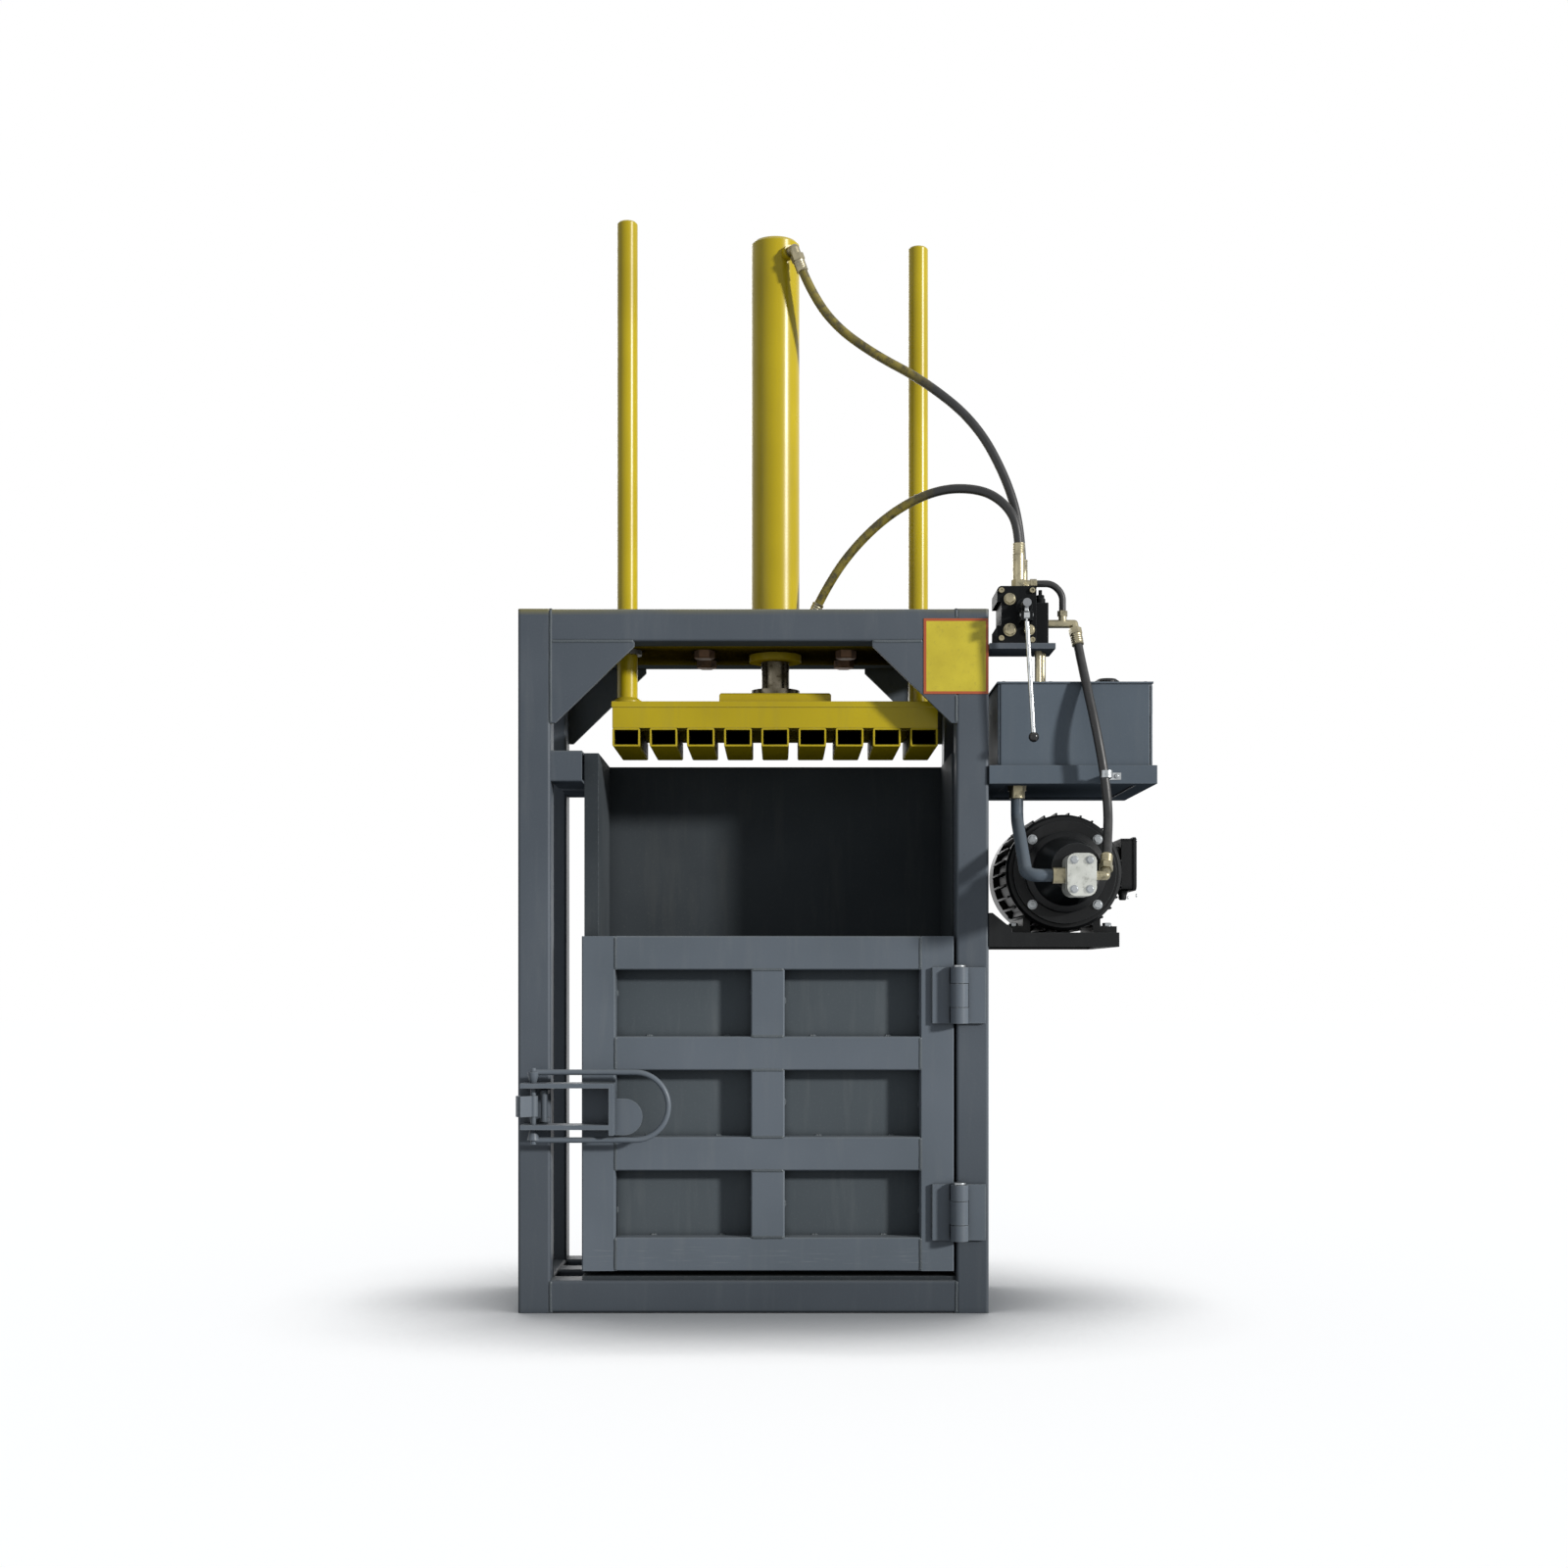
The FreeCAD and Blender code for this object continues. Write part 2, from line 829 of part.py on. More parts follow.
def makeChamber():
    rib = sizes.ribThickness
    ribRise = wallHeight - rib
    skin = chamberLeft - sizes.sheetThickness

    left = newBody(z=floorTop)
    section = [(chamberLeft, wallFront), (chamberLeft, wallBack), (wallOutside, wallBack),
               (wallOutside, wallBack - rib), (skin, wallBack - rib),
               (skin, wallFront + rib), (wallOutside, wallFront + rib),
               (wallOutside, wallFront)]
    pad(left, "Z", [section], wallHeight)
    shelf = rectangle(wallOutside, wallFront + rib / 2, skin + 1, wallBack - rib / 2)
    repeat(left, pad(left, "Z", [shelf], rib), ribRise, 4)
    node("chamber_wall_left", left)

    right = newBody(z=floorTop)
    pad(right, "Z", [rectangle(chamberRight, wallFront, postInner, wallBack)], wallHeight)
    shelf = rectangle(postInner - 1, -beamInner, postInner + sizes.sideRibDepth, beamInner)
    repeat(right, pad(right, "Z", [shelf], rib), ribRise, 4)
    node("chamber_wall_right", right)

    back = newBody(z=floorTop)
    face = wallBack + sizes.sheetThickness
    pad(back, "Z", [rectangle(wallOutside, wallBack, postInner, face)], wallHeight)
    shelf = rectangle(wallOutside, face - 1, postInner, backFace)
    repeat(back, pad(back, "Z", [shelf], rib), ribRise, 5)
    node("chamber_wall_back", back)

    floor = rectangle(wallOutside, frontFace + sizes.floorInset,
                      postInner, backFace - sizes.floorInset)
    node("chamber_floor", plate("Z", floor, sizes.floorThickness, z=sizes.postSide))

    reach = wallOutside + postInner
    tieZ = sizes.chamberTop - sizes.tieHeight / 2
    tieY = backFace - sizes.tieInset - sizes.tieDepth / 2
    ties = [squareTube("X", sizes.tieDepth, sizes.tieHeight, sizes.postWall, sizes.postWall,
                       reach, -postInner, y, tieZ) for y in (-tieY, tieY)]
    node("chamber_ties", group(*ties))


# The door, its hinges and its latch.

def doorTube(axis, length, x, z):
    depth = frontFace + sizes.doorMemberDepth / 2
    wide, high = (sizes.doorMember, sizes.doorMemberDepth)
    if axis == "X":
        wide, high = high, wide
    return squareTube(axis, wide, high, sizes.doorMemberWall, sizes.doorMemberCorner,
                      length, x, depth, z, "Chamfer")


def doorStile(x):
    return shut(doorTube("Z", sizes.doorHeight, x, sizes.doorBottom), x,
                frontFace + sizes.doorMemberDepth / 2, sizes.doorBottom, sizes.doorMember,
                sizes.doorMemberDepth, sizes.doorHeight, sizes.doorMemberWall)


def makeDoor():
    member = sizes.doorMember
    middle = wallOutside + doorWidth / 2
    panel = (sizes.doorHeight - 4 * member) / 3
    members = [doorStile(x) for x in (wallOutside + member / 2, doorRight - member / 2)]
    for row in range(4):
        height = sizes.doorBottom + member / 2 + row * (member + panel)
        members.append(doorTube("X", doorWidth - 2 * member, wallOutside + member, height))
    for row in range(3):
        height = sizes.doorBottom + member + row * (member + panel)
        members.append(doorTube("Z", panel, middle, height))
    node("door_grid", group(*members))

    face = rectangle(wallOutside, sizes.doorBottom, doorRight, sizes.doorBottom + sizes.doorHeight)
    node("door_skin", plate("Y", face, sizes.doorSkin, y=frontFace + sizes.doorMemberDepth))


def hingeLeaf(centre, side, low, lengths):
    # side is 1 for the leaf on the post and -1 for the leaf on the door.
    near = sizes.barrelRadius + 1.5 * sizes.hingeGap
    bottom = centre - sizes.hingeHeight / 2
    leafY = frontFace - sizes.leafThickness
    left = hingeX + near if side > 0 else hingeX - sizes.leafWidth
    leaf = [box(left, leafY, bottom, sizes.leafWidth - near, sizes.leafThickness,
                sizes.hingeHeight)]
    for start in low:
        tongue = hingeX if side > 0 else hingeX - near - 1
        leaf.append(box(tongue, leafY, start, near + 1, sizes.leafThickness, lengths))
        leaf.append(rod(hingeX, hingeY, start, sizes.barrelRadius, lengths))
    bore = rod(hingeX, hingeY, bottom - 1, sizes.hingePinRadius + sizes.runningGap,
               sizes.hingeHeight + 2)
    return cut(fuse(*leaf), bore)


def makeHinges():
    outer = (sizes.hingeHeight - sizes.hingeKnuckle) / 2 - sizes.hingeGap
    posts, doors, pins = [], [], []
    for centre in (sizes.hingeLow, sizes.hingeHigh):
        bottom = centre - sizes.hingeHeight / 2
        top = centre + sizes.hingeHeight / 2
        posts.append(hingeLeaf(centre, 1, (bottom, top - outer), outer))
        doors.append(hingeLeaf(centre, -1, (centre - sizes.hingeKnuckle / 2,),
                               sizes.hingeKnuckle))
        profile = [(0, bottom), (sizes.hingePinRadius, bottom), (sizes.hingePinRadius, top),
                   (sizes.pinHeadRadius, top), (sizes.pinHeadRadius, top + sizes.pinHeadHeight),
                   (0, top + sizes.pinHeadHeight)]
        pins.append(turned(profile, hingeX, hingeY, 0))
    node("frame_hinge_leaves", group(*posts))
    node("door_hinge_leaves", group(*doors))
    node("hinge_pins", group(*pins))


def makeLatch():
    left = pivotX - sizes.latchTail
    right = left + sizes.latchReach
    front = frontFace - sizes.latchDepth
    clear = frontFace - sizes.postClearance
    shape = [(left, front), (right, front), (right, frontFace), (wallOutside, frontFace),
             (wallOutside, clear), (left, clear)]
    bore = [(pivotX, pivotY, sizes.pivotRadius + sizes.runningGap)]
    plates = [plate("Z", shape, sizes.latchPlate, z=sizes.latchCentre + z, holes=bore)
              for z in (latchInner, -latchInner - sizes.latchPlate)]
    foot = sizes.bailSpread / 2 - sizes.bailRadius - sizes.latchPlate / 2
    end = box(right - sizes.latchPlate / 2, front, sizes.latchCentre - foot,
              sizes.latchPlate, sizes.latchDepth,
              foot + latchInner + sizes.latchPlate)
    lugY = frontFace - 2 * sizes.lugThickness
    lugZ = sizes.latchCentre - latchInner / 2 - sizes.latchPlate / 2
    flat = sizes.lugReach - sizes.lugRadius
    disc = rod(right + flat, lugY, lugZ, sizes.lugRadius, sizes.lugThickness,
               alongAxis["Y"].multiply(Rotation(Vector(0, 0, 1), -90)))
    bind(disc, Angle=180)
    lug = [box(right, lugY, lugZ - sizes.lugRadius, flat + 1, sizes.lugThickness,
               2 * sizes.lugRadius), disc]
    node("latch_bracket", fuse(*plates, end, *lug))

    reach = sizes.clawHeight / 2 + sizes.keeperEar / 2
    bar = rod(keeperX, keeperY, sizes.latchCentre - reach - sizes.keeperEar,
              sizes.keeperRadius, 2 * (reach + sizes.keeperEar))
    ears = [box(keeperX - sizes.keeperEarWidth / 2, keeperY, sizes.latchCentre + z,
                sizes.keeperEarWidth, frontFace - keeperY, sizes.keeperEar)
            for z in (reach, -reach - sizes.keeperEar)]
    node("latch_keeper", fuse(bar, *ears))

    makeHandle()


def makeHandle():
    arm = sizes.bailSpread / 2
    bail = newBody(pivotX, pivotY, sizes.latchCentre)
    path = newSketch(bail, "XZ_Plane")
    high, far = float(arm), float(sizes.bailReach)
    path.addGeometry(Part.LineSegment(Vector(0, high, 0), Vector(far, high, 0)), False)
    path.addGeometry(Part.LineSegment(Vector(0, -high, 0), Vector(far, -high, 0)), False)
    bend = Part.ArcOfCircle(Part.Circle(Vector(far, 0, 0), Vector(0, 0, 1), high),
                            -math.pi / 2, math.pi / 2)
    path.addGeometry(bend, False)
    for line, point, height in ((0, 1, arm), (0, 2, arm), (1, 1, -arm), (1, 2, -arm)):
        pin(path, line, point, "X", sizes.bailReach if point == 2 else 0)
        pin(path, line, point, "Y", height)
    path.addConstraint(Sketcher.Constraint("Coincident", 2, 1, 1, 2))
    path.addConstraint(Sketcher.Constraint("Coincident", 2, 2, 0, 2))
    section = newSketch(bail, "YZ_Plane")
    hole(section, 0, arm, sizes.bailRadius)
    pipe = bail.newObject("PartDesign::AdditivePipe", "bentBar")
    pipe.Profile = section
    pipe.Spine = path

    stem = sizes.bailSpread / 2 + 1.5 * sizes.bailRadius
    pieces = [bail, rod(pivotX, pivotY, sizes.latchCentre - stem, sizes.pivotRadius, 2 * stem)]
    seat = latchInner + sizes.latchPlate + sizes.hingeGap / 2
    length = arm - seat
    pieces.append(cone(pivotX, pivotY, sizes.latchCentre + seat, sizes.pivotRadius + 1,
                       sizes.bossRadius, length))
    pieces.append(cone(pivotX, pivotY, sizes.latchCentre - seat, sizes.pivotRadius + 1,
                       sizes.bossRadius, length, "-Z"))
    half = sizes.latchCentre - sizes.clawHeight / 2
    pieces.append(rod(pivotX, pivotY, half, sizes.hubRadius, sizes.clawHeight))
    # The claw trails the bail by its turn, so that it runs round behind the keeper bar.
    arc = rod(pivotX, pivotY, half, sizes.clawOuter, sizes.clawHeight,
              Rotation(Vector(0, 0, 1), float(sizes.clawTurn)))
    bind(arc, Angle=sizes.clawArc)
    inner = rod(pivotX, pivotY, half - 1, sizes.clawInner, sizes.clawHeight + 2)
    pieces.append(cut(arc, inner))
    webTurn = float(sizes.clawTurn + sizes.clawArc)
    web = box(0, 0, 0, sizes.clawOuter - 1, sizes.clawOuter - sizes.clawInner, sizes.clawHeight)
    place(web, pivotX, pivotY, half, Rotation(Vector(0, 0, 1), webTurn))
    pieces.append(web)
    node("latch_handle", fuse(*pieces))


# The platen, the press cylinder and the guide rods.

def makePlaten():
    left = chamberMiddle - platenWidth / 2
    width = sizes.platenTubeWidth
    pitch = (platenWidth - width) / (sizes.platenTubes - 1)
    tubes = [squareTube("Y", width, sizes.platenTubeHeight, sizes.platenTubeWall,
                        sizes.platenTubeCorner, platenDepth,
                        left + width / 2 + index * pitch, platenFront,
                        platenRest + sizes.platenTubeHeight / 2, "Chamfer")
             for index in range(drivingSizes["platenTubes"])]
    node("platen_tubes", group(*tubes))

    wall = sizes.platenBeamWall
    high = sizes.platenBeamHeight
    beam = newBody(chamberMiddle, platenMiddle, beamBottom)
    inside = centred(platenWidth - 2 * wall, platenDepth - 2 * wall)
    pad(beam, "Z", [centred(platenWidth, platenDepth), inside], high)
    for y in (sizes.padDepth / 2, -sizes.padDepth / 2):
        web = rectangle(-platenWidth / 2 + wall / 2, y - wall / 2,
                        platenWidth / 2 - wall / 2, y + wall / 2)
        pad(beam, "Z", [web], high)
    lip = 2 * sizes.platenTopOverhang
    pad(beam, "Z", [centred(platenWidth + lip, platenDepth + lip)],
        sizes.platenTopThickness, offset=high)
    node("platen_beam", beam)

    padPlate = newBody(chamberMiddle, 0, platenTop)
    pad(padPlate, "Z", [centred(sizes.padLength, sizes.padDepth)], sizes.padThickness)
    roundEdges(padPlate, sizes.padChamfer,
               lambda edge: abs(edge.CenterOfMass.z - float(sizes.padThickness)) < 0.01, "Chamfer")
    node("platen_pad", padPlate)

    rise = guideTop - platenTop
    collar = sizes.guideCollarHeight
    chamfer = sizes.guideChamfer
    profile = [(0, 0), (sizes.guideCollar, 0), (sizes.guideCollar, collar),
               (sizes.guideRadius, collar + sizes.guideCollarSlope),
               (sizes.guideRadius, rise - chamfer), (sizes.guideRadius - chamfer, rise), (0, rise)]
    node("guide_rods", group(*[turned(profile, x, y, platenTop) for x, y in guides()]))


def makeCylinder():
    boreTop = cylinderTop - sizes.cylinderCap
    pistonTop = boreTop - sizes.pistonTopGap
    pistonBottom = pistonTop - sizes.pistonLength
    chamfer = sizes.cylinderChamfer
    profile = [(sizes.cylinderBore, flangeTop), (sizes.cylinderRadius, flangeTop),
               (sizes.cylinderRadius, cylinderTop - chamfer),
               (sizes.cylinderRadius - chamfer, cylinderTop), (0, cylinderTop),
               (0, boreTop), (sizes.cylinderBore, boreTop)]
    bosses, bores = [], []
    for z, turn in ((capPortZ, sizes.capPortTurn), (rodPortZ, sizes.rodPortTurn)):
        angle = math.radians(float(turn))
        outwards = Rotation(Vector(0, 0, 1), Vector(math.cos(angle), math.sin(angle), 0))
        start = sizes.cylinderBore + 2
        x = chamberMiddle + start * cosine(turn)
        y = start * sine(turn)
        bosses.append(rod(x, y, z, sizes.portRadius, sizes.portReach - start, outwards))
        bores.append(rod(chamberMiddle, 0, z, sizes.portBore, sizes.portReach + 1, outwards))
    node("cylinder_tube", cut(fuse(turned(profile, chamberMiddle, 0, 0), *bosses), *bores))

    head = newBody(chamberMiddle, 0, deckTop)
    rodBore = (0, 0, sizes.pistonRodRadius + sizes.runningGap)
    fit = sizes.deckBoltRadius + sizes.seatGap
    holes = [rodBore] + [(x - chamberMiddle, y, fit) for x, y in deckBolts()]
    pad(head, "Z", [centred(sizes.flangeLength, sizes.flangeDepth)], sizes.flangeThickness, holes)
    nose = newSketch(head, "XY_Plane", -sizes.deckThickness - sizes.noseDrop)
    hole(nose, 0, 0, sizes.noseRadius)
    hole(nose, *rodBore)
    stub = head.newObject("PartDesign::Pad", "nose")
    stub.Profile = nose
    bind(stub, Length=sizes.deckThickness + sizes.noseDrop)
    roundEdges(head, sizes.flangeCorner,
               lambda edge: abs(edge.Length - float(sizes.flangeThickness)) < 0.01
               and abs(abs(edge.CenterOfMass.y) - float(sizes.flangeDepth) / 2) < 0.01)
    node("cylinder_head", head)

    gap = sizes.runningGap
    node("piston", turned([(0, pistonBottom), (sizes.cylinderBore - gap, pistonBottom),
                           (sizes.cylinderBore - gap, pistonTop), (0, pistonTop)],
                          chamberMiddle, 0, 0))
    foot = padTop + sizes.rodFootHeight
    node("piston_rod", turned([(0, padTop), (sizes.rodFootRadius, padTop), (sizes.rodFootRadius, foot),
                               (sizes.pistonRodRadius, foot), (sizes.pistonRodRadius, pistonBottom),
                               (0, pistonBottom)], chamberMiddle, 0, 0))


# The oil tank.

def makeTank():
    trayFront = -sizes.trayDepth / 2
    tray = newBody(sideFace, trayFront, trayBottom)
    wall = sizes.trayWall
    outer = rectangle(0, 0, sizes.trayWidth, sizes.trayDepth)
    upright = rectangle(wall, wall, sizes.trayWidth - wall, sizes.trayDepth - wall)
    ledge = rectangle(sizes.trayLeg, sizes.trayLeg, sizes.trayWidth - sizes.trayLeg,
                      sizes.trayDepth - sizes.trayLeg)
    pad(tray, "Z", [outer, ledge], wall)
    pad(tray, "Z", [outer, upright], sizes.trayLeg)
    node("tank_tray", tray)

    shell = newBody(tankX, 0, tankBottom)
    pad(shell, "Z", [centred(sizes.tankWidth, sizes.tankDepth)], sizes.tankHeight)
    roundEdges(shell, sizes.tankCorner, lambda edge: abs(edge.Length - float(sizes.tankHeight)) < 0.01)
    inside = centred(sizes.tankWidth - 2 * sizes.tankWall, sizes.tankDepth - 2 * sizes.tankWall)
    pocket(shell, "Z", [inside], sizes.tankHeight, offset=sizes.tankWall)
    node("tank_shell", shell)

    fit = sizes.pipeRadius + sizes.seatGap
    lid = newBody(tankX, 0, tankTop)
    holes = [(x - tankX, y, fit) for x, y in returnPipes()]
    lip = 2 * sizes.lidOverhang
    pad(lid, "Z", [centred(sizes.tankWidth + lip, sizes.tankDepth + lip)], sizes.tankLid, holes)
    node("tank_lid", lid)

    neck = sizes.fillerNeckHeight
    high = sizes.fillerHeight
    chamfer = sizes.fillerChamfer
    profile = [(0, 0), (sizes.fillerNeck, 0), (sizes.fillerNeck, neck), (sizes.fillerRadius, neck + 2),
               (sizes.fillerRadius, high - chamfer), (sizes.fillerRadius - chamfer, high), (0, high)]
    node("filler_cap", turned(profile, fillerX, 0, lidTop))


def returnPipes():
    middle = valveRight + sizes.reliefWidth / 2
    return [(middle + side * sizes.pipeAside, valveMiddleY + side * sizes.pipeApart)
            for side in (-1, 1)]


# The motor and the pump.

def makeMotor():
    housing = newBody(motorX, sizes.motorFront, motorZ)
    barrel = newSketch(housing, "XZ_Plane")
    hole(barrel, 0, 0, sizes.motorRadius)
    hole(barrel, 0, 0, sizes.motorBore)
    shell = housing.newObject("PartDesign::Pad", "barrel")
    shell.Profile = barrel
    shell.Reversed = True
    bind(shell, Length=sizes.motorLength)
    sole = -sizes.motorHeight
    footTop = sole + sizes.footThickness
    for side in (1, -1):
        centre = side * sizes.footSpread
        web = centre - side * sizes.footWidth / 2
        foot = rectangle(centre - sizes.footWidth / 2, sole, centre + sizes.footWidth / 2, footTop)
        edge = web + side * sizes.footWeb
        knee = rectangle(web, footTop, edge, sizes.footWebTop)
        start = (sizes.motorLength - sizes.footLength) / 2
        pad(housing, "Y", [foot], sizes.footLength, offset=start)
        pad(housing, "Y", [knee if side > 0 else list(reversed(knee))], sizes.footLength, offset=start)
    along = sizes.boxInset + sizes.boxLength / 2
    seat = rectangle(along - sizes.boxSeatWidth / 2, sizes.boxRise - sizes.boxSeatHeight / 2,
                     along + sizes.boxSeatWidth / 2, sizes.boxRise + sizes.boxSeatHeight / 2)
    pad(housing, "X", [seat], sizes.finRadius - sizes.motorRadius + 5, offset=sizes.motorRadius - 4)
    fin = rectangle(sizes.motorRadius - 2, -sizes.finThickness / 2,
                    sizes.finRadius, sizes.finThickness / 2)
    ring(housing, pad(housing, "Y", [fin], sizes.motorLength), drivingSizes["finCount"])
    node("motor_housing", housing)

    fit = sizes.bearingRadius + sizes.seatGap / 4
    depth = sizes.shieldLength
    bore = sizes.shaftRadius + sizes.shaftClearance
    chamfer = sizes.shieldChamfer
    shield = [(bore, 0), (sizes.shieldRadius - chamfer, 0), (sizes.shieldRadius, chamfer),
              (sizes.shieldRadius, depth), (fit, depth), (fit, depth - sizes.bearingLength),
              (bore, depth - sizes.bearingLength)]
    front = turned(shield, motorX, shieldFront, motorZ, "Y")
    back = turned(shield, motorX, motorBack + depth, motorZ, "-Y")
    node("motor_end_shields", group(front, back))

    race = [(sizes.shaftRadius + sizes.runningGap, 0), (sizes.bearingRadius, 0),
            (sizes.bearingRadius, sizes.bearingLength),
            (sizes.shaftRadius + sizes.runningGap, sizes.bearingLength)]
    bearings = [turned(race, motorX, y, motorZ, "Y")
                for y in (sizes.motorFront - sizes.bearingLength, motorBack)]
    node("motor_bearings", group(*bearings))

    makeRotor()
    makeCowl()
    makeTerminalBox()


def makeRotor():
    # One turned piece: pump journal, motor shaft, rotor core and the fan's stub.
    fanEnd = motorBack + sizes.shieldLength + sizes.cowlLength / 2
    journal = sizes.gearShaft
    journalEnd = bellFront + sizes.journalReach
    coreFront = sizes.motorFront + sizes.rotorInset
    coreBack = motorBack - sizes.rotorInset
    shaft = sizes.shaftRadius
    stub = shaft - sizes.shaftStep
    seat = motorBack + sizes.bearingLength
    profile = [(0, gearStart + sizes.gearWidth), (journal, gearStart + sizes.gearWidth),
               (journal, journalEnd), (shaft, journalEnd), (shaft, coreFront),
               (sizes.rotorRadius, coreFront), (sizes.rotorRadius, coreBack), (shaft, coreBack),
               (shaft, seat), (stub, seat), (stub, fanEnd), (0, fanEnd)]
    node("motor_rotor", turned(profile, motorX, 0, motorZ, "Y"))

    fan = newBody(motorX, motorBack + sizes.shieldLength + sizes.fanStandoff, motorZ)
    deep = sizes.cowlLength / 2 - sizes.fanStandoff
    hub = newSketch(fan, "XZ_Plane")
    hole(hub, 0, 0, sizes.fanHub)
    hole(hub, 0, 0, stub + sizes.runningGap / 2)
    boss = fan.newObject("PartDesign::Pad", "hub")
    boss.Profile = hub
    boss.Reversed = True
    bind(boss, Length=deep)
    blade = rectangle(sizes.fanHub - sizes.fanBlade, -sizes.fanBlade / 2,
                      sizes.fanRadius, sizes.fanBlade / 2)
    ring(fan, pad(fan, "Y", [blade], deep), drivingSizes["fanBlades"])
    node("cooling_fan", fan)


def makeCowl():
    wall = sizes.cowlWall
    long = sizes.cowlLength
    outer = sizes.shieldRadius + sizes.seatGap + wall
    inside = outer - wall
    chamfer = sizes.cowlChamfer
    profile = [(inside, -sizes.cowlLap), (outer, -sizes.cowlLap), (outer, long - chamfer),
               (outer - chamfer, long), (0, long), (0, long - wall), (inside - chamfer, long - wall),
               (inside, long - wall - chamfer)]
    start = motorBack + sizes.shieldLength + sizes.hingeGap / 2
    cowl = turned(profile, motorX, start, motorZ, "Y")
    half = sizes.cowlSlot / 2
    rows = ((sizes.cowlInnerStart, sizes.cowlInnerEnd, "cowlInnerSlots"),
            (sizes.cowlOuterStart, sizes.cowlOuterEnd, "cowlOuterSlots"))
    for near, far, count in rows:
        slot = pocket(cowl, "Z", [rectangle(near, -half, far, half)], 2 * wall + 2,
                      offset=long - 2 * wall)
        ring(cowl, slot, drivingSizes[count])
    node("fan_cowl", cowl)


def makeTerminalBox():
    bottom = motorZ + sizes.boxRise - sizes.boxHeight / 2
    front = sizes.motorFront + sizes.boxInset
    left = motorX + sizes.finRadius + 1
    thick = sizes.boxLid
    lip = sizes.boxLidLip
    case = newBody(left, front, bottom)
    pad(case, "X", [rectangle(0, 0, sizes.boxLength, sizes.boxHeight)], sizes.boxWidth - thick)
    roundEdges(case, sizes.boxCorner,
               lambda edge: abs(edge.Length - float(sizes.boxWidth - thick)) < 0.01)
    lid = newBody(left + sizes.boxWidth - thick, front - lip, bottom - lip)
    pad(lid, "X", [rectangle(0, 0, sizes.boxLength + 2 * lip, sizes.boxHeight + 2 * lip)], thick)
    roundEdges(lid, sizes.boxCorner + lip, lambda edge: abs(edge.Length - float(thick)) < 0.01)
    gland = turned([(4, 0), (11, 0), (11, 8), (9, 10), (9, 18), (7, 22), (4, 22)],
                   left + (sizes.boxWidth - thick) / 2, front + sizes.boxLength / 2, bottom, "-Z")
    node("terminal_box", group(case, lid, gland))


def makePump():
    wall = sizes.bellWall
    long = sizes.bellLength
    flange = sizes.bellFlange
    shoulder = flange + sizes.bellShoulder
    bore = sizes.shaftRadius + sizes.bellShaftGap
    profile = [(sizes.bellBore, 0), (sizes.bellFlangeRadius, 0), (sizes.bellFlangeRadius, flange),
               (sizes.bellDiscRadius, flange), (sizes.bellDiscRadius, shoulder),
               (sizes.bellDiscRadius - sizes.bellShoulderStep, shoulder + wall),
               (sizes.bellFrontRadius, long - flange), (sizes.bellFrontRadius, long), (bore, long),
               (bore, long - wall), (sizes.bellFrontRadius - wall, long - 2 * wall),
               (sizes.bellBore, shoulder)]
    node("bell_housing", turned(profile, motorX, shieldFront, motorZ, "-Y"))

    body = newBody(motorX, pumpFront, pumpMiddle)
    pad(body, "Y", [centred(sizes.pumpWidth, sizes.pumpHeight)], sizes.pumpLength)
    roundEdges(body, sizes.pumpCorner, lambda edge: abs(edge.Length - float(sizes.pumpLength)) < 0.01)
    # Two shallow grooves part the pump's three clamped sections.
    outside = centred(sizes.pumpWidth + 8, sizes.pumpHeight + 8)
    depth = 2 * sizes.pumpJointDepth
    core = centred(sizes.pumpWidth - depth, sizes.pumpHeight - depth)
    for share in (1, 3):
        pocket(body, "Y", [outside, core], sizes.pumpJoint, offset=share * sizes.pumpLength / 4)
    chambers = []
    for z in (motorZ, idlerZ):
        chambers.append(rod(motorX, gearStart - sizes.gearGap / 2, z,
                            tipRadius + sizes.gearGap, sizes.gearWidth + sizes.gearGap, "Y"))
    journal = sizes.gearShaft + sizes.runningGap
    chambers.append(rod(motorX, gearStart + 1, motorZ, journal, sizes.pumpLength, "Y"))
    reach = sizes.gearStub + sizes.gearGap
    chambers.append(rod(motorX, gearStart - reach, idlerZ, journal,
                        sizes.gearWidth + 2 * reach, "Y"))
    chambers.append(rod(motorX, gearStart - reach, motorZ, journal,
                        sizes.gearWidth, "Y"))
    node("pump_body", cut(body, *chambers))

    makeGears()


def gearFace(teeth, module, turn):
    # Involute teeth: each flank is one arc through the root, pitch and tip points.
    pitch = module * teeth / 2
    base = pitch * math.cos(math.radians(20))
    tip = pitch + module
    root = pitch - 1.25 * module
    slack = 0.012

    def involute(radius):
        return math.sqrt((radius / base) ** 2 - 1) - math.atan(math.sqrt((radius / base) ** 2 - 1))

    def at(radius, angle):
        return Vector(radius * math.cos(angle), radius * math.sin(angle), 0)

    halfTooth = math.pi / (2 * teeth) + involute(pitch) - slack
    edges = []
    for tooth in range(teeth):
        middle = turn + 2 * math.pi * tooth / teeth
        spread = {radius: halfTooth - involute(radius) for radius in (base, pitch, tip)}
        up = [at(radius, middle - spread[radius]) for radius in (base, pitch, tip)]
        down = [at(radius, middle + spread[radius]) for radius in (tip, pitch, base)]
        low = [at(root, middle - spread[base]), at(root, middle + spread[base])]
        following = at(root, middle + 2 * math.pi / teeth - spread[base])
        edges.append(Part.LineSegment(low[0], up[0]).toShape())
        edges.append(Part.Arc(*up).toShape())
        edges.append(Part.Arc(up[2], at(tip, middle), down[0]).toShape())
        edges.append(Part.Arc(*down).toShape())
        edges.append(Part.LineSegment(down[2], low[1]).toShape())
        edges.append(Part.LineSegment(low[1], following).toShape())
    return Part.Face(Part.Wire(edges))


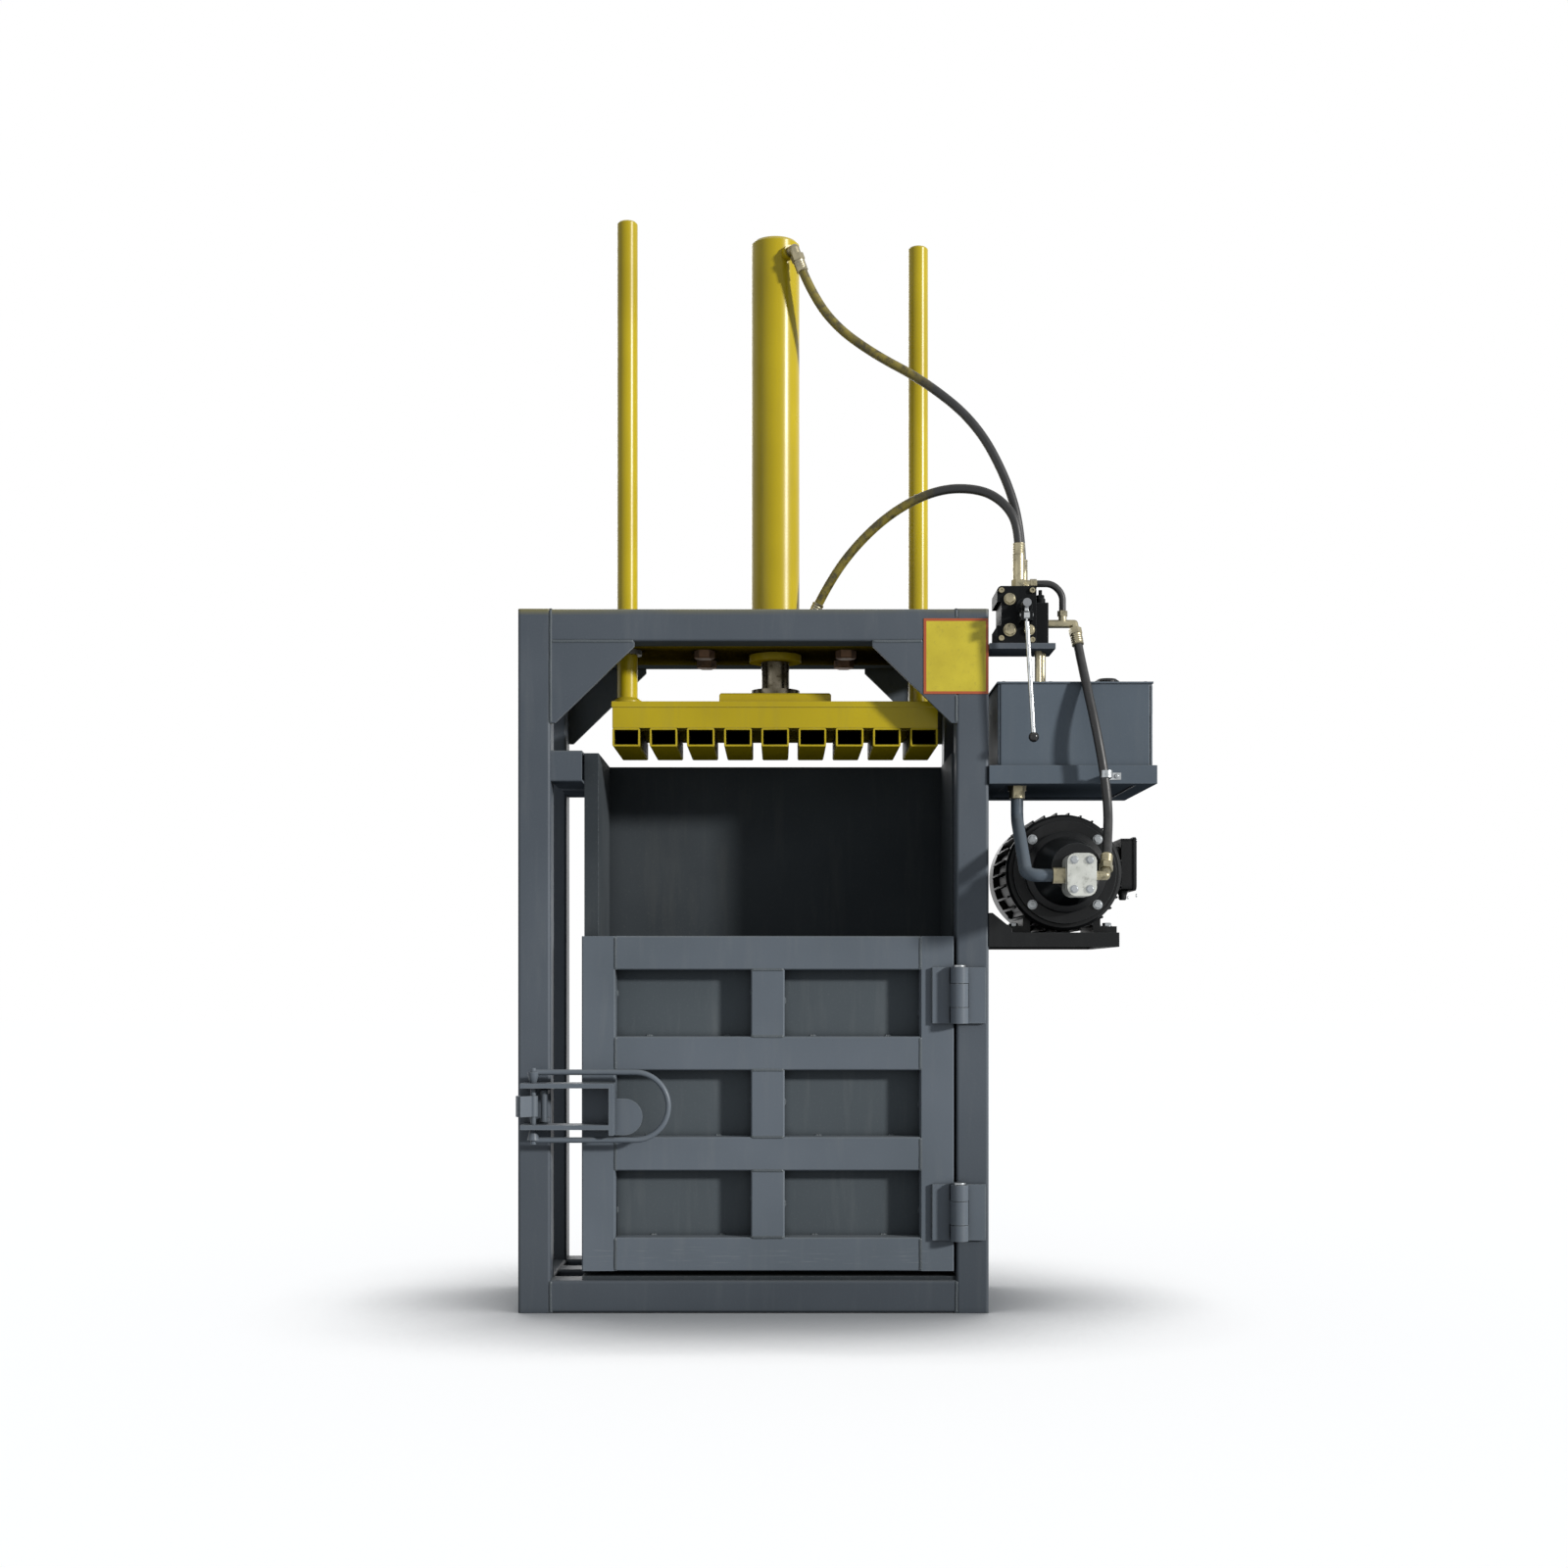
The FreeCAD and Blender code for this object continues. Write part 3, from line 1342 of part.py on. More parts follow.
def makeGears():
    teeth = drivingSizes["gearTeeth"]
    module = float(sizes.gearModule)
    width = float(sizes.gearWidth)
    journal = float(sizes.gearShaft)
    start = float(gearStart)
    x = float(motorX)
    stub = float(sizes.gearStub)
    # The drive gear points a tooth at the idler, which points a gap back at it.
    gears = (("drive_gear", float(motorZ), -math.pi / 2, (stub, 0)),
             ("idler_gear", float(idlerZ), math.pi / 2 + math.pi / teeth, (stub, stub)))
    for label, z, turn, stubs in gears:
        shape = gearFace(teeth, module, turn).extrude(Vector(0, 0, width))
        shape = shape.fuse(Part.makeCylinder(journal, stubs[0], Vector(0, 0, width)))
        if stubs[1]:
            shape = shape.fuse(Part.makeCylinder(journal, stubs[1], Vector(), Vector(0, 0, -1)))
        gear = doc.addObject("Part::Feature", label)
        # The face lies in XY with +Y up the page, and is stood up so that its axis is +Y.
        gear.Shape = shape.removeSplitter()
        gear.Placement = Placement(Vector(x, start + width, z), Rotation(Vector(1, 0, 0), 90))
        node(label, gear)


def makeShelf():
    top = footZ
    long, thick = sizes.shelfLength, sizes.shelfThickness
    shelf = newBody(sideFace, frontFace, shelfBottom - sizes.shelfApron)
    deep = sizes.frameDepth
    pad(shelf, "Z", [rectangle(0, 0, long, deep)], thick + sizes.shelfApron)
    under = rectangle(-1, thick, long - thick, deep - thick)
    pocket(shelf, "Z", [under], sizes.shelfApron + 1, offset=-1)
    nose = sizes.braceNose
    brace = [(0, 0), (sizes.braceLength, 0), (sizes.braceLength, nose), (nose, sizes.braceHeight),
             (0, sizes.braceHeight)]
    braces = [plate("Y", brace, sizes.braceThickness, sideFace, y, top)
              for y in (frontFace, backFace - sizes.braceThickness)]
    node("motor_shelf", fuse(shelf, *braces))


# The control valve.

def makeValve():
    shelf = newBody(sideFace, sizes.valveFront, valveBase - sizes.valveShelfThickness)
    holes = [(x - sideFace, y - sizes.valveFront, sizes.pipeRadius + 2) for x, y in returnPipes()]
    pad(shelf, "Z", [rectangle(0, 0, sizes.valveShelfLength, sizes.valveDepth)],
        sizes.valveShelfThickness, holes)
    node("valve_shelf", shelf)

    block = newBody(valveLeft, sizes.valveFront, valveBase)
    pad(block, "Y", [rectangle(0, 0, sizes.valveWidth, sizes.valveHeight)], sizes.valveDepth)
    roundEdges(block, sizes.valveCorner, lambda edge: abs(edge.Length - float(sizes.valveDepth)) < 0.01
               and edge.CenterOfMass.z > float(sizes.valveHeight) / 2)
    waist = rectangle(-1, sizes.valveWaistLow, sizes.valveWaist, sizes.valveWaistHigh)
    pocket(block, "Y", [waist], sizes.valveDepth)
    front = rod(spoolX, sizes.valveFront - sizes.valveCapFront, spoolZ, sizes.valveCapRadius,
                sizes.valveCapFront + 1, "Y")
    back = rod(spoolX, sizes.valveFront + sizes.valveDepth - 1, spoolZ, sizes.valveCapRadius,
               sizes.valveCapBack + 1, "Y")
    earLength = sizes.leverStandoff + sizes.earReach
    earZ = leverZ - sizes.earDrop
    ears = []
    for side in (-1, 1):
        offset = sizes.leverHubWidth / 2 + sizes.hingeGap / 2
        x = spoolX + offset if side > 0 else spoolX - offset - sizes.earThickness
        ears.append(box(x, sizes.valveFront - earLength, earZ, sizes.earThickness, earLength + 1,
                        sizes.earHeight))
    across = sizes.leverHubWidth + 3 * sizes.earThickness
    pinBore = rod(spoolX - across / 2, leverY, leverZ, sizes.leverPin + sizes.pinGap,
                  across, "X")
    spoolBore = rod(spoolX, sizes.valveFront - sizes.valveCapFront - 1, spoolZ,
                    sizes.spoolRadius + sizes.runningGap,
                    sizes.valveDepth + sizes.valveCapFront + sizes.valveCapBack - 8, "Y")
    node("valve_body", cut(fuse(block, front, back, *ears), pinBore, spoolBore))

    tail = sizes.valveFront + sizes.valveDepth + sizes.valveCapBack / 3
    nose = leverY - sizes.leverTipRadius - 8
    spool = rod(spoolX, nose, spoolZ, sizes.spoolRadius, tail - nose, "Y")
    slotHalf = sizes.leverTipRadius + sizes.leverSlotGap
    slotWidth = sizes.leverArmWidth + 2
    slot = box(spoolX - slotWidth / 2, leverY - slotHalf, spoolZ - sizes.spoolRadius - 1,
               slotWidth, 2 * slotHalf, sizes.spoolRadius + 1 + slotHalf + sizes.leverSlotGap)
    node("valve_spool", cut(spool, slot))

    makeLever()

    relief = newBody(valveRight, valveMiddleY - sizes.reliefDepth / 2, valveBase)
    pad(relief, "Z", [rectangle(0, 0, sizes.reliefWidth, sizes.reliefDepth)], sizes.reliefHeight)
    roundEdges(relief, sizes.reliefCorner,
               lambda edge: abs(edge.Length - float(sizes.reliefHeight)) < 0.01)
    middle = valveRight + sizes.reliefWidth / 2
    capZ = valveBase + sizes.reliefHeight
    nutZ = capZ + sizes.reliefCapHeight
    cap = [rod(middle, valveMiddleY, capZ - 1, sizes.reliefCap, sizes.reliefCapHeight + 1),
           hexPrism(middle, valveMiddleY, nutZ, sizes.reliefNut, sizes.reliefNutHeight),
           rod(middle, valveMiddleY, nutZ, sizes.reliefScrew,
               sizes.reliefNutHeight + sizes.reliefScrewHeight)]
    node("relief_valve", fuse(relief, *cap))

    bottom = lidTop - sizes.pipeDip
    pipes = [rod(x, y, bottom, sizes.pipeRadius, valveBase - bottom) for x, y in returnPipes()]
    node("return_pipes", group(*pipes))


def makeLever():
    width = sizes.leverHubWidth
    hub = rod(spoolX - width / 2, leverY, leverZ, sizes.leverHub, width, "X")
    across = width + 2 * (sizes.earThickness + sizes.leverPinEnd)
    fulcrum = rod(spoolX - across / 2, leverY, leverZ, sizes.leverPin, across, "X")
    thick = sizes.leverArmWidth
    arm = box(spoolX - thick / 2, leverY - sizes.leverArmDepth / 2, leverZ,
              thick, sizes.leverArmDepth, sizes.leverArm)
    tip = rod(spoolX - thick / 2, leverY, spoolZ, sizes.leverTipRadius, thick, "X")
    lean = Rotation(Vector(0, 1, 0), 180 - float(sizes.leverLean))
    handle = rod(spoolX, leverY, leverZ, sizes.leverRadius, sizes.leverLength, lean)
    node("valve_lever", fuse(hub, fulcrum, arm, tip, handle))

    reach = sizes.leverLength + sizes.knobRadius - sizes.knobSink
    knob = ball(spoolX + reach * sine(sizes.leverLean), leverY,
                leverZ - reach * cosine(sizes.leverLean), sizes.knobRadius)
    socket = rod(spoolX, leverY, leverZ, sizes.leverRadius, sizes.leverLength, lean)
    node("lever_knob", cut(knob, socket))


# The hoses, the pipes and their fittings.

def point(x, y, z):
    return Vector(float(x), float(y), float(z))


def onTheWay(corner, target, length):
    # The spot that lies this far from a fitting's corner towards the route's next point.
    return corner + (target - corner).normalize() * float(length)


def bentTube(label, points, radius):
    # Straight runs joined by tangent arcs, each as large as its two runs allow.
    edges = []
    radii = []
    length = 0
    start = points[0]
    for before, corner, after in zip(points, points[1:], points[2:]):
        inwards = (corner - before).normalize()
        outwards = (after - corner).normalize()
        half = inwards.getAngle(outwards) / 2
        trim = 0.45 * min((corner - before).Length, (after - corner).Length)
        bend = trim / math.tan(half)
        entry = corner - inwards * trim
        leave = corner + outwards * trim
        towards = (outwards - inwards).normalize()
        middle = corner + towards * (bend / math.cos(half) - bend)
        edges.append(Part.LineSegment(start, entry).toShape())
        edges.append(Part.Arc(entry, middle, leave).toShape())
        length += (entry - start).Length + 2 * half * bend
        radii.append(round(bend))
        start = leave
    edges.append(Part.LineSegment(start, points[-1]).toShape())
    length += (points[-1] - start).Length
    section = Part.Wire(Part.Circle(points[0], points[1] - points[0], float(radius)).toShape())
    tube = doc.addObject("Part::Feature", label)
    tube.Shape = Part.Wire(edges).makePipeShell([section], True, False)
    node(label, tube)
    expected = math.pi * float(radius) ** 2 * length
    print(f"{label}: {length:.0f} long, volume ratio {tube.Shape.Volume / expected:.4f}, bends {radii}")


def spots(*places):
    return [Vector(*place) for place in places]


def portCorner(turn, z):
    reach = sizes.portReach + sizes.elbowReach
    return point(chamberMiddle + reach * cosine(turn), reach * sine(turn), z)


capCorner = portCorner(sizes.capPortTurn, capPortZ)
rodCorner = portCorner(sizes.rodPortTurn, rodPortZ)
capEnd = point(spoolX + sizes.capNippleAside, capHoseY, valveTop + sizes.capNippleRise)
rodEnd = point(spoolX + sizes.rodNippleAside, rodHoseY, valveTop + sizes.rodNippleRise)
pressureCorner = point(valveRight + sizes.reliefWidth + sizes.teeReach, valveMiddleY,
                       valveBase + sizes.teeRise)
pumpCorner = point(motorX + sizes.pumpWidth / 2 + sizes.pumpReach, portY, portZ)
suctionTop = point(sideFace + sizes.suctionAside, sizes.suctionInset - sizes.trayDepth / 2,
                   tankBottom - sizes.suctionDrop)
suctionKnee = point(sideFace + sizes.suctionKnee, portY, portZ)
suctionEnd = point(motorX - sizes.pumpWidth / 2 - sizes.suctionReach, portY, portZ)
loopCorner = point(valveRight - sizes.loopInset, valveMiddleY, valveTop + sizes.loopRise)
loopEnd = point(valveRight + sizes.loopReach, valveMiddleY, valveBase + sizes.teeRise + sizes.loopDrop)

capRoute = spots((118, -76.5, 2246), (172, -78.5, 2160), (262, -83, 2092), (375, -91, 2030),
                 (488, -101, 1935), (556, -119, 1800), (583, -133, 1683))
rodRoute = spots((154, -53.5, 1573), (212, -71, 1660), (300, -97, 1740), (400, -129, 1784),
                 (490.5, -160, 1777), (543.5, -177, 1741), (571, -184, 1688))
pressureRoute = spots((702, -183, 1415), (713, -220, 1335), (729, -247, 1240), (745, -249, 1150),
                      (751, -262, 1070), (742, -305, 1003))


def elbow(corner, back, backLength, forward, forwardLength, radius, nut):
    # A corner fitting: a leg back to its port, a leg on to the hose, and the hose's nut.
    out = Rotation(Vector(0, 0, 1), forward)
    long = sizes.fittingNutLength
    shift = Vector(forward).normalize() * float(forwardLength - long)
    return fuse(rod(corner.x, corner.y, corner.z, radius, backLength, Rotation(Vector(0, 0, 1), back)),
                rod(corner.x, corner.y, corner.z, radius, forwardLength, out),
                ball(corner.x, corner.y, corner.z, radius),
                hexPrism(corner.x + shift.x, corner.y + shift.y, corner.z + shift.z, nut, long, out))


def portSide(turn):
    angle = math.radians(float(turn))
    return Vector(-math.cos(angle), -math.sin(angle), 0)


def makeFittings():
    down = Vector(0, 0, -1)
    right = Vector(1, 0, 0)
    pieces = [elbow(corner, portSide(turn), sizes.elbowReach, first - corner, sizes.elbowLeg,
                    sizes.elbowRadius, sizes.elbowNut)
              for corner, turn, first in ((capCorner, sizes.capPortTurn, capRoute[0]),
                                          (rodCorner, sizes.rodPortTurn, rodRoute[0]))]
    nutLong = sizes.topNutLength
    for top in (capEnd, rodEnd):
        pieces.append(fuse(hexPrism(top.x, top.y, valveTop, sizes.fittingNut, nutLong),
                           rod(top.x, top.y, valveTop + nutLong - 1, sizes.fittingRadius,
                               top.z - valveTop - nutLong + 1)))
    tee = sizes.teeRadius
    pieces.append(fuse(
        elbow(pressureCorner, -right, sizes.teeReach, pressureRoute[0] - pressureCorner,
              sizes.teeLeg, tee, sizes.teeNut),
        rod(loopEnd.x, loopEnd.y, pressureCorner.z, tee, sizes.loopDrop),
        hexPrism(loopEnd.x, loopEnd.y, loopEnd.z - sizes.loopNutLength, tee + 2, sizes.loopNutLength)))
    pieces.append(elbow(loopCorner, down, sizes.loopRise, right, sizes.loopLeg,
                        sizes.loopElbow, sizes.loopNut))
    pieces.append(elbow(pumpCorner, -right, sizes.pumpReach, pressureRoute[-1] - pumpCorner,
                        sizes.elbowLeg, sizes.pumpElbow, sizes.elbowNut))
    pieces.append(rod(suctionEnd.x, suctionEnd.y, suctionEnd.z, sizes.suctionFitting,
                      sizes.suctionReach, "X"))
    nutLong = sizes.fittingNutLength
    pieces.append(fuse(hexPrism(suctionTop.x, suctionTop.y, tankBottom - nutLong,
                                sizes.suctionFlange, nutLong),
                       rod(suctionTop.x, suctionTop.y, suctionTop.z, sizes.suctionFitting,
                           sizes.suctionDrop)))
    node("hose_fittings", group(*pieces))


def makeHoses():
    bentTube("cap_end_hose", [onTheWay(capCorner, capRoute[0], sizes.elbowLeg)] + capRoute + [capEnd],
             sizes.hoseRadius)
    bentTube("rod_end_hose", [onTheWay(rodCorner, rodRoute[0], sizes.elbowLeg)] + rodRoute + [rodEnd],
             sizes.hoseRadius)
    bentTube("pressure_hose",
             [onTheWay(pressureCorner, pressureRoute[0], sizes.teeLeg)] + pressureRoute
             + [onTheWay(pumpCorner, pressureRoute[-1], sizes.elbowLeg)], sizes.hoseRadius)
    bentTube("suction_pipe", [suctionTop, suctionTop - Vector(0, 0, float(sizes.suctionFall)),
                              suctionKnee, suctionEnd], sizes.suctionRadius)
    leg = float(sizes.loopLeg)
    bentTube("loop_pipe", [point(loopCorner.x + leg, loopCorner.y, loopCorner.z),
                           point(loopEnd.x - leg, loopEnd.y, loopCorner.z),
                           point(loopEnd.x, loopEnd.y, loopCorner.z - leg), loopEnd],
             sizes.loopRadius)
    makeFittings()


# The bolts.

def makeBolts():
    bolts = []
    head = sizes.boltHeadSpan
    for x, y in deckBolts():
        low = deckBottom - sizes.boltHead
        bolts.append(fuse(
            hexPrism(x, y, low, head, sizes.boltHead),
            rod(x, y, low, sizes.deckBoltRadius, flangeTop + sizes.boltRise - low),
            hexPrism(x, y, flangeTop, head, sizes.boltNut)))
    footTop = footZ + sizes.footThickness
    middle = sizes.motorFront + sizes.motorLength / 2
    bellRing = (sizes.bellFlangeRadius + sizes.bellDiscRadius) / 2
    for side in (-1, 1):
        for end in (-1, 1):
            footX = motorX + side * (sizes.footSpread + sizes.footBoltAside)
            bolts.append(hexPrism(footX, middle + end * sizes.footBoltSpan, footTop,
                                  sizes.footBolt, sizes.footBoltHead))
            turn = 90 - side * 45 if end > 0 else 270 + side * 45
            bolts.append(hexPrism(motorX + bellRing * cosine(turn),
                                  shieldFront - sizes.bellFlange,
                                  motorZ + bellRing * sine(turn),
                                  sizes.bellBolt, sizes.bellBoltHead, "-Y"))
            inset = sizes.pumpBoltInset
            bolts.append(hexPrism(motorX + side * (sizes.pumpWidth / 2 - inset), pumpFront,
                                  pumpMiddle + end * (sizes.pumpHeight / 2 - inset),
                                  sizes.pumpBolt, sizes.pumpBoltHead, "-Y"))
    node("hex_bolts", group(*bolts))


# Everything built, checked and written.

makeFrame()
makeDeck()
makeChamber()
makeDoor()
makeHinges()
makeLatch()
makePlaten()
makeCylinder()
makeTank()
makeMotor()
makePump()
makeShelf()
makeValve()
makeHoses()
makeBolts()
doc.recompute()

for thing in doc.Objects:
    if "Invalid" in thing.State or "Error" in thing.State:
        raise RuntimeError(f"{thing.Label} did not build")
for thing in nodes:
    if thing.Shape.isNull() or not thing.Shape.isValid():
        raise RuntimeError(f"{thing.Label} has no valid shape")

os.makedirs("parts", exist_ok=True)
for thing in nodes:
    thing.Shape.exportStep(f"parts/{thing.Label}.step")
print(f"{len(nodes)} sub-parts written")
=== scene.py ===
import math
import random
import bpy
import bmesh
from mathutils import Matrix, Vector


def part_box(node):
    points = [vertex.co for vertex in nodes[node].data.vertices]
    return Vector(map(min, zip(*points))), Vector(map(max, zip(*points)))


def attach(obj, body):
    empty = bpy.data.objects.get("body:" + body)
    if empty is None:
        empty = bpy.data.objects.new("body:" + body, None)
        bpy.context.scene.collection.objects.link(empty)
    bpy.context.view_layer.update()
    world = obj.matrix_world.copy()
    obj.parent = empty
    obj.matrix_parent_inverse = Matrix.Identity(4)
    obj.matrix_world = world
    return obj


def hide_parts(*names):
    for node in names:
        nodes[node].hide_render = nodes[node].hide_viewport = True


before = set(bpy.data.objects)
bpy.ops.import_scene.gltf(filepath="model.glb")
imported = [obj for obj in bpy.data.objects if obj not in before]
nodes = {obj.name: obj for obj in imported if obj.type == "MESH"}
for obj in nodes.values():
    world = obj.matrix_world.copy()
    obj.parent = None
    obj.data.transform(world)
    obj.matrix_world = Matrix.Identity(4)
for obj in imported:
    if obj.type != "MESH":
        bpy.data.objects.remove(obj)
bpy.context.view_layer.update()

dice = random.Random(1381)
mm = 0.001
scene = bpy.context.scene
print("frame loaded:", len(nodes), "nodes")

# the camera stands where the photograph was taken: 4.36 m in front of the door, 0.71 m up
viewpoint = {
    "place": (0.0556, -4.56, 0.714),
    "lens": 46.7,
    "sensor": 36.0,
    "shiftX": 0.003,
    "shiftY": 0.125,
    "farthest": 60,
}


def placeCamera():
    camera = bpy.data.objects.new("camera", bpy.data.cameras.new("camera"))
    scene.collection.objects.link(camera)
    camera.location = viewpoint["place"]
    camera.rotation_euler = (math.radians(90), 0, 0)
    camera.data.lens = viewpoint["lens"]
    camera.data.sensor_width = viewpoint["sensor"]
    camera.data.shift_x = viewpoint["shiftX"]
    camera.data.shift_y = viewpoint["shiftY"]
    camera.data.clip_end = viewpoint["farthest"]
    scene.camera = camera


placeCamera()
print("camera placed")


def hexColour(code):
    channels = [int(code[at:at + 2], 16) / 255 for at in (1, 3, 5)]
    linear = [c / 12.92 if c <= 0.04045 else ((c + 0.055) / 1.055) ** 2.4 for c in channels]
    return (*linear, 1.0)


def addNode(tree, kind, inputs=(), **settings):
    # inputs are named, or counted among the sockets in use; a node stands for its first output in use
    made = tree.nodes.new("ShaderNode" + kind)
    for setting, value in settings.items():
        setattr(made, setting, value)
    for key, value in dict(inputs).items():
        free = [socket for socket in made.inputs if socket.enabled]
        socket = free[key] if isinstance(key, int) else next(s for s in free if s.name == key)
        if isinstance(value, bpy.types.Node):
            value = next(s for s in value.outputs if s.enabled)
        if isinstance(value, bpy.types.NodeSocket):
            tree.links.new(value, socket)
        else:
            socket.default_value = value
    return made


def newMaterial(name):
    material = bpy.data.materials.new(name)
    material.use_nodes = True
    tree = material.node_tree
    tree.nodes.clear()
    shader = addNode(tree, "BsdfPrincipled")
    addNode(tree, "OutputMaterial", {"Surface": shader})
    return material, tree, shader


def feed(tree, shader, look, ground, layers, rough, bump):
    # from the ground outwards: each layer is how much of it there is and the name of its colour
    colour = hexColour(look[ground])
    for share, tone in layers:
        colour = addNode(tree, "Mix", {0: share, 1: colour, 2: hexColour(look[tone])}, data_type="RGBA")
    for socket, node in (("Base Color", colour), ("Roughness", rough), ("Normal", bump)):
        tree.links.new(next(s for s in node.outputs if s.enabled), shader.inputs[socket])


# a noise's values gather round 0.5: a range from 0.3 to 0.7 takes in nearly all of it, and one that
# starts above 0.5 leaves only patches


def sprayedEnamel(name, look):
    # air-dried machine enamel, sprayed on: a soft sheen with orange peel, shop dust where it can lie,
    # grime and painted shade in the corners and thin, paler paint rubbed along the edges
    material, tree, shader = newMaterial(name)
    place = addNode(tree, "TexCoord").outputs["Object"]
    facing = addNode(tree, "NewGeometry").outputs["Normal"]
    height = addNode(tree, "SeparateXYZ", {0: place}).outputs["Z"]
    upward = addNode(tree, "SeparateXYZ", {0: facing}).outputs["Z"]
    # broad clouds of thicker and thinner coats
    cloud = addNode(tree, "TexNoise", {"Vector": place, "Scale": 1000 / look["cloudSize"], "Detail": 3.0})
    thick = addNode(tree, "MapRange", {0: cloud, 1: 0.36, 2: 0.66})
    # faint runs down the upright faces
    drawn = addNode(tree, "Mapping", {"Vector": place, "Scale": (1, 1, look["runStretch"])})
    run = addNode(tree, "TexNoise", {"Vector": drawn, "Scale": 1000 / look["runApart"], "Detail": 3.0,
                                     "Roughness": 0.6})
    runs = addNode(tree, "MapRange", {0: run, 1: 0.52, 2: 0.78, 3: 0.0, 4: look["runs"]})
    # specks of grit stick everywhere, and dust lies in patches on upward faces
    grit = addNode(tree, "TexNoise", {"Vector": place, "Scale": 1000 / look["gritSize"], "Detail": 4.0,
                                      "Roughness": 0.7})
    lying = addNode(tree, "MapRange", {0: upward, 1: 0.3, 2: 0.95, 3: 0.0, 4: look["lyingDust"]})
    patchy = addNode(tree, "MapRange", {0: cloud, 1: 0.3, 2: 0.6, 3: 0.35, 4: 1.0})
    lying = addNode(tree, "Math", {0: lying, 1: patchy}, operation="MULTIPLY")
    specks = addNode(tree, "MapRange", {0: grit, 1: 0.56, 2: 0.74, 3: 0.0, 4: look["specks"]})
    dusty = addNode(tree, "Math", {0: lying, 1: specks}, operation="ADD", use_clamp=True)
    # the lowest hand's breadths are darker
    darkerLow = addNode(tree, "MapRange", {0: height, 1: look["darkerLowTop"] * mm, 2: look["darkerLowFoot"] * mm,
                                          3: 0.0, 4: look["darkerLow"]})
    # grime gathers in inside corners, and the same darkening paints the shade that falls there
    nearby = addNode(tree, "AmbientOcclusion", {"Distance": look["cornerReach"] * mm}, samples=6)
    corner = addNode(tree, "MapRange", {0: nearby.outputs["AO"], 1: 0.8, 2: 0.35})
    cornerGrimeAndShade = addNode(tree, "Math", {0: corner, 1: look["corners"]}, operation="MULTIPLY")
    # outside edges are rubbed, shown by how far a rounded normal leaves the true one
    rounded = addNode(tree, "Bevel", {"Radius": look["edgeWide"] * mm}, samples=4)
    turned = addNode(tree, "VectorMath", {0: rounded, 1: facing}, operation="DOT_PRODUCT")
    edge = addNode(tree, "MapRange", {0: turned, 1: 0.99, 2: 0.84})
    ragged = addNode(tree, "MapRange", {0: grit, 1: 0.38, 2: 0.6, 3: 0.15, 4: 1.0})
    outside = addNode(tree, "Math", {0: 1.0, 1: corner}, operation="SUBTRACT")
    rubbed = addNode(tree, "Math", {0: edge, 1: ragged}, operation="MULTIPLY")
    rubbed = addNode(tree, "Math", {0: rubbed, 1: outside}, operation="MULTIPLY")
    rubbed = addNode(tree, "Math", {0: rubbed, 1: look["rubbed"]}, operation="MULTIPLY")
    # a few chips down to the primer
    flake = addNode(tree, "TexNoise", {"Vector": place, "Scale": 1000 / look["chipApart"], "Detail": 6.0,
                                       "Roughness": 0.75})
    chips = addNode(tree, "MapRange", {0: flake, 1: 0.7, 2: 0.725, 3: 0.0, 4: look["chips"]})
    layers = [(thick, "shade"), (runs, "dust"), (dusty, "dust"), (darkerLow, "grimeAndShade"), (cornerGrimeAndShade, "grimeAndShade"),
              (rubbed, "bare"), (chips, "primer")]
    if "scraped" in look:
        # bales and boots have scraped a band of it, in strokes along the rail
        band = look["scraped"]
        low, high, soft = band["low"] * mm, band["high"] * mm, band["soft"] * mm
        drag = addNode(tree, "Mapping", {"Vector": place, "Scale": (band["stretch"], 1, 1)})
        scrape = addNode(tree, "TexNoise", {"Vector": drag, "Scale": 1000 / band["stroke"], "Detail": 3.0,
                                            "Roughness": 0.7})
        scrape = addNode(tree, "MapRange", {0: scrape, 1: 0.58, 2: 0.7, 3: 0.0, 4: band["most"]})
        above = addNode(tree, "MapRange", {0: height, 1: low, 2: low + soft})
        below = addNode(tree, "MapRange", {0: height, 1: high + soft, 2: high})
        inside = addNode(tree, "Math", {0: above, 1: below}, operation="MULTIPLY")
        scraped = addNode(tree, "Math", {0: inside, 1: scrape}, operation="MULTIPLY")
        layers.append((scraped, "bare"))
    if "mist" in look:
        # yellow mist along the top edge, caught while the press was painted
        reach = addNode(tree, "MapRange", {0: height, 1: look["mistFrom"] * mm, 2: look["mistTo"] * mm,
                                           3: 0.0, 4: look["mistMost"]})
        misted = addNode(tree, "Math", {0: reach, 1: thick}, operation="MULTIPLY")
        layers.append((misted, "mist"))
    rough = addNode(tree, "MapRange", {0: cloud, 1: 0.3, 2: 0.7, 3: look["rough"] - 0.05,
                                       4: look["rough"] + 0.07})
    rough = addNode(tree, "Math", {0: dusty, 1: look["dustRough"], 2: rough}, operation="MULTIPLY_ADD")
    # orange peel, slow waves of the sheet below, and chips sunk into the coat
    peel = addNode(tree, "TexNoise", {"Vector": place, "Scale": 1000 / look["peelSize"], "Detail": 1.0})
    wave = addNode(tree, "TexNoise", {"Vector": place, "Scale": 1000 / look["waveSize"], "Detail": 1.0})
    relief = addNode(tree, "Math", {0: peel, 1: look["peel"]}, operation="MULTIPLY")
    relief = addNode(tree, "Math", {0: wave, 1: look["waves"], 2: relief}, operation="MULTIPLY_ADD")
    relief = addNode(tree, "Math", {0: chips, 1: -look["chipDeep"], 2: relief}, operation="MULTIPLY_ADD")
    bump = addNode(tree, "Bump", {"Height": relief, "Distance": 1 * mm, "Strength": 0.6})
    shader.inputs["IOR"].default_value = 1.5
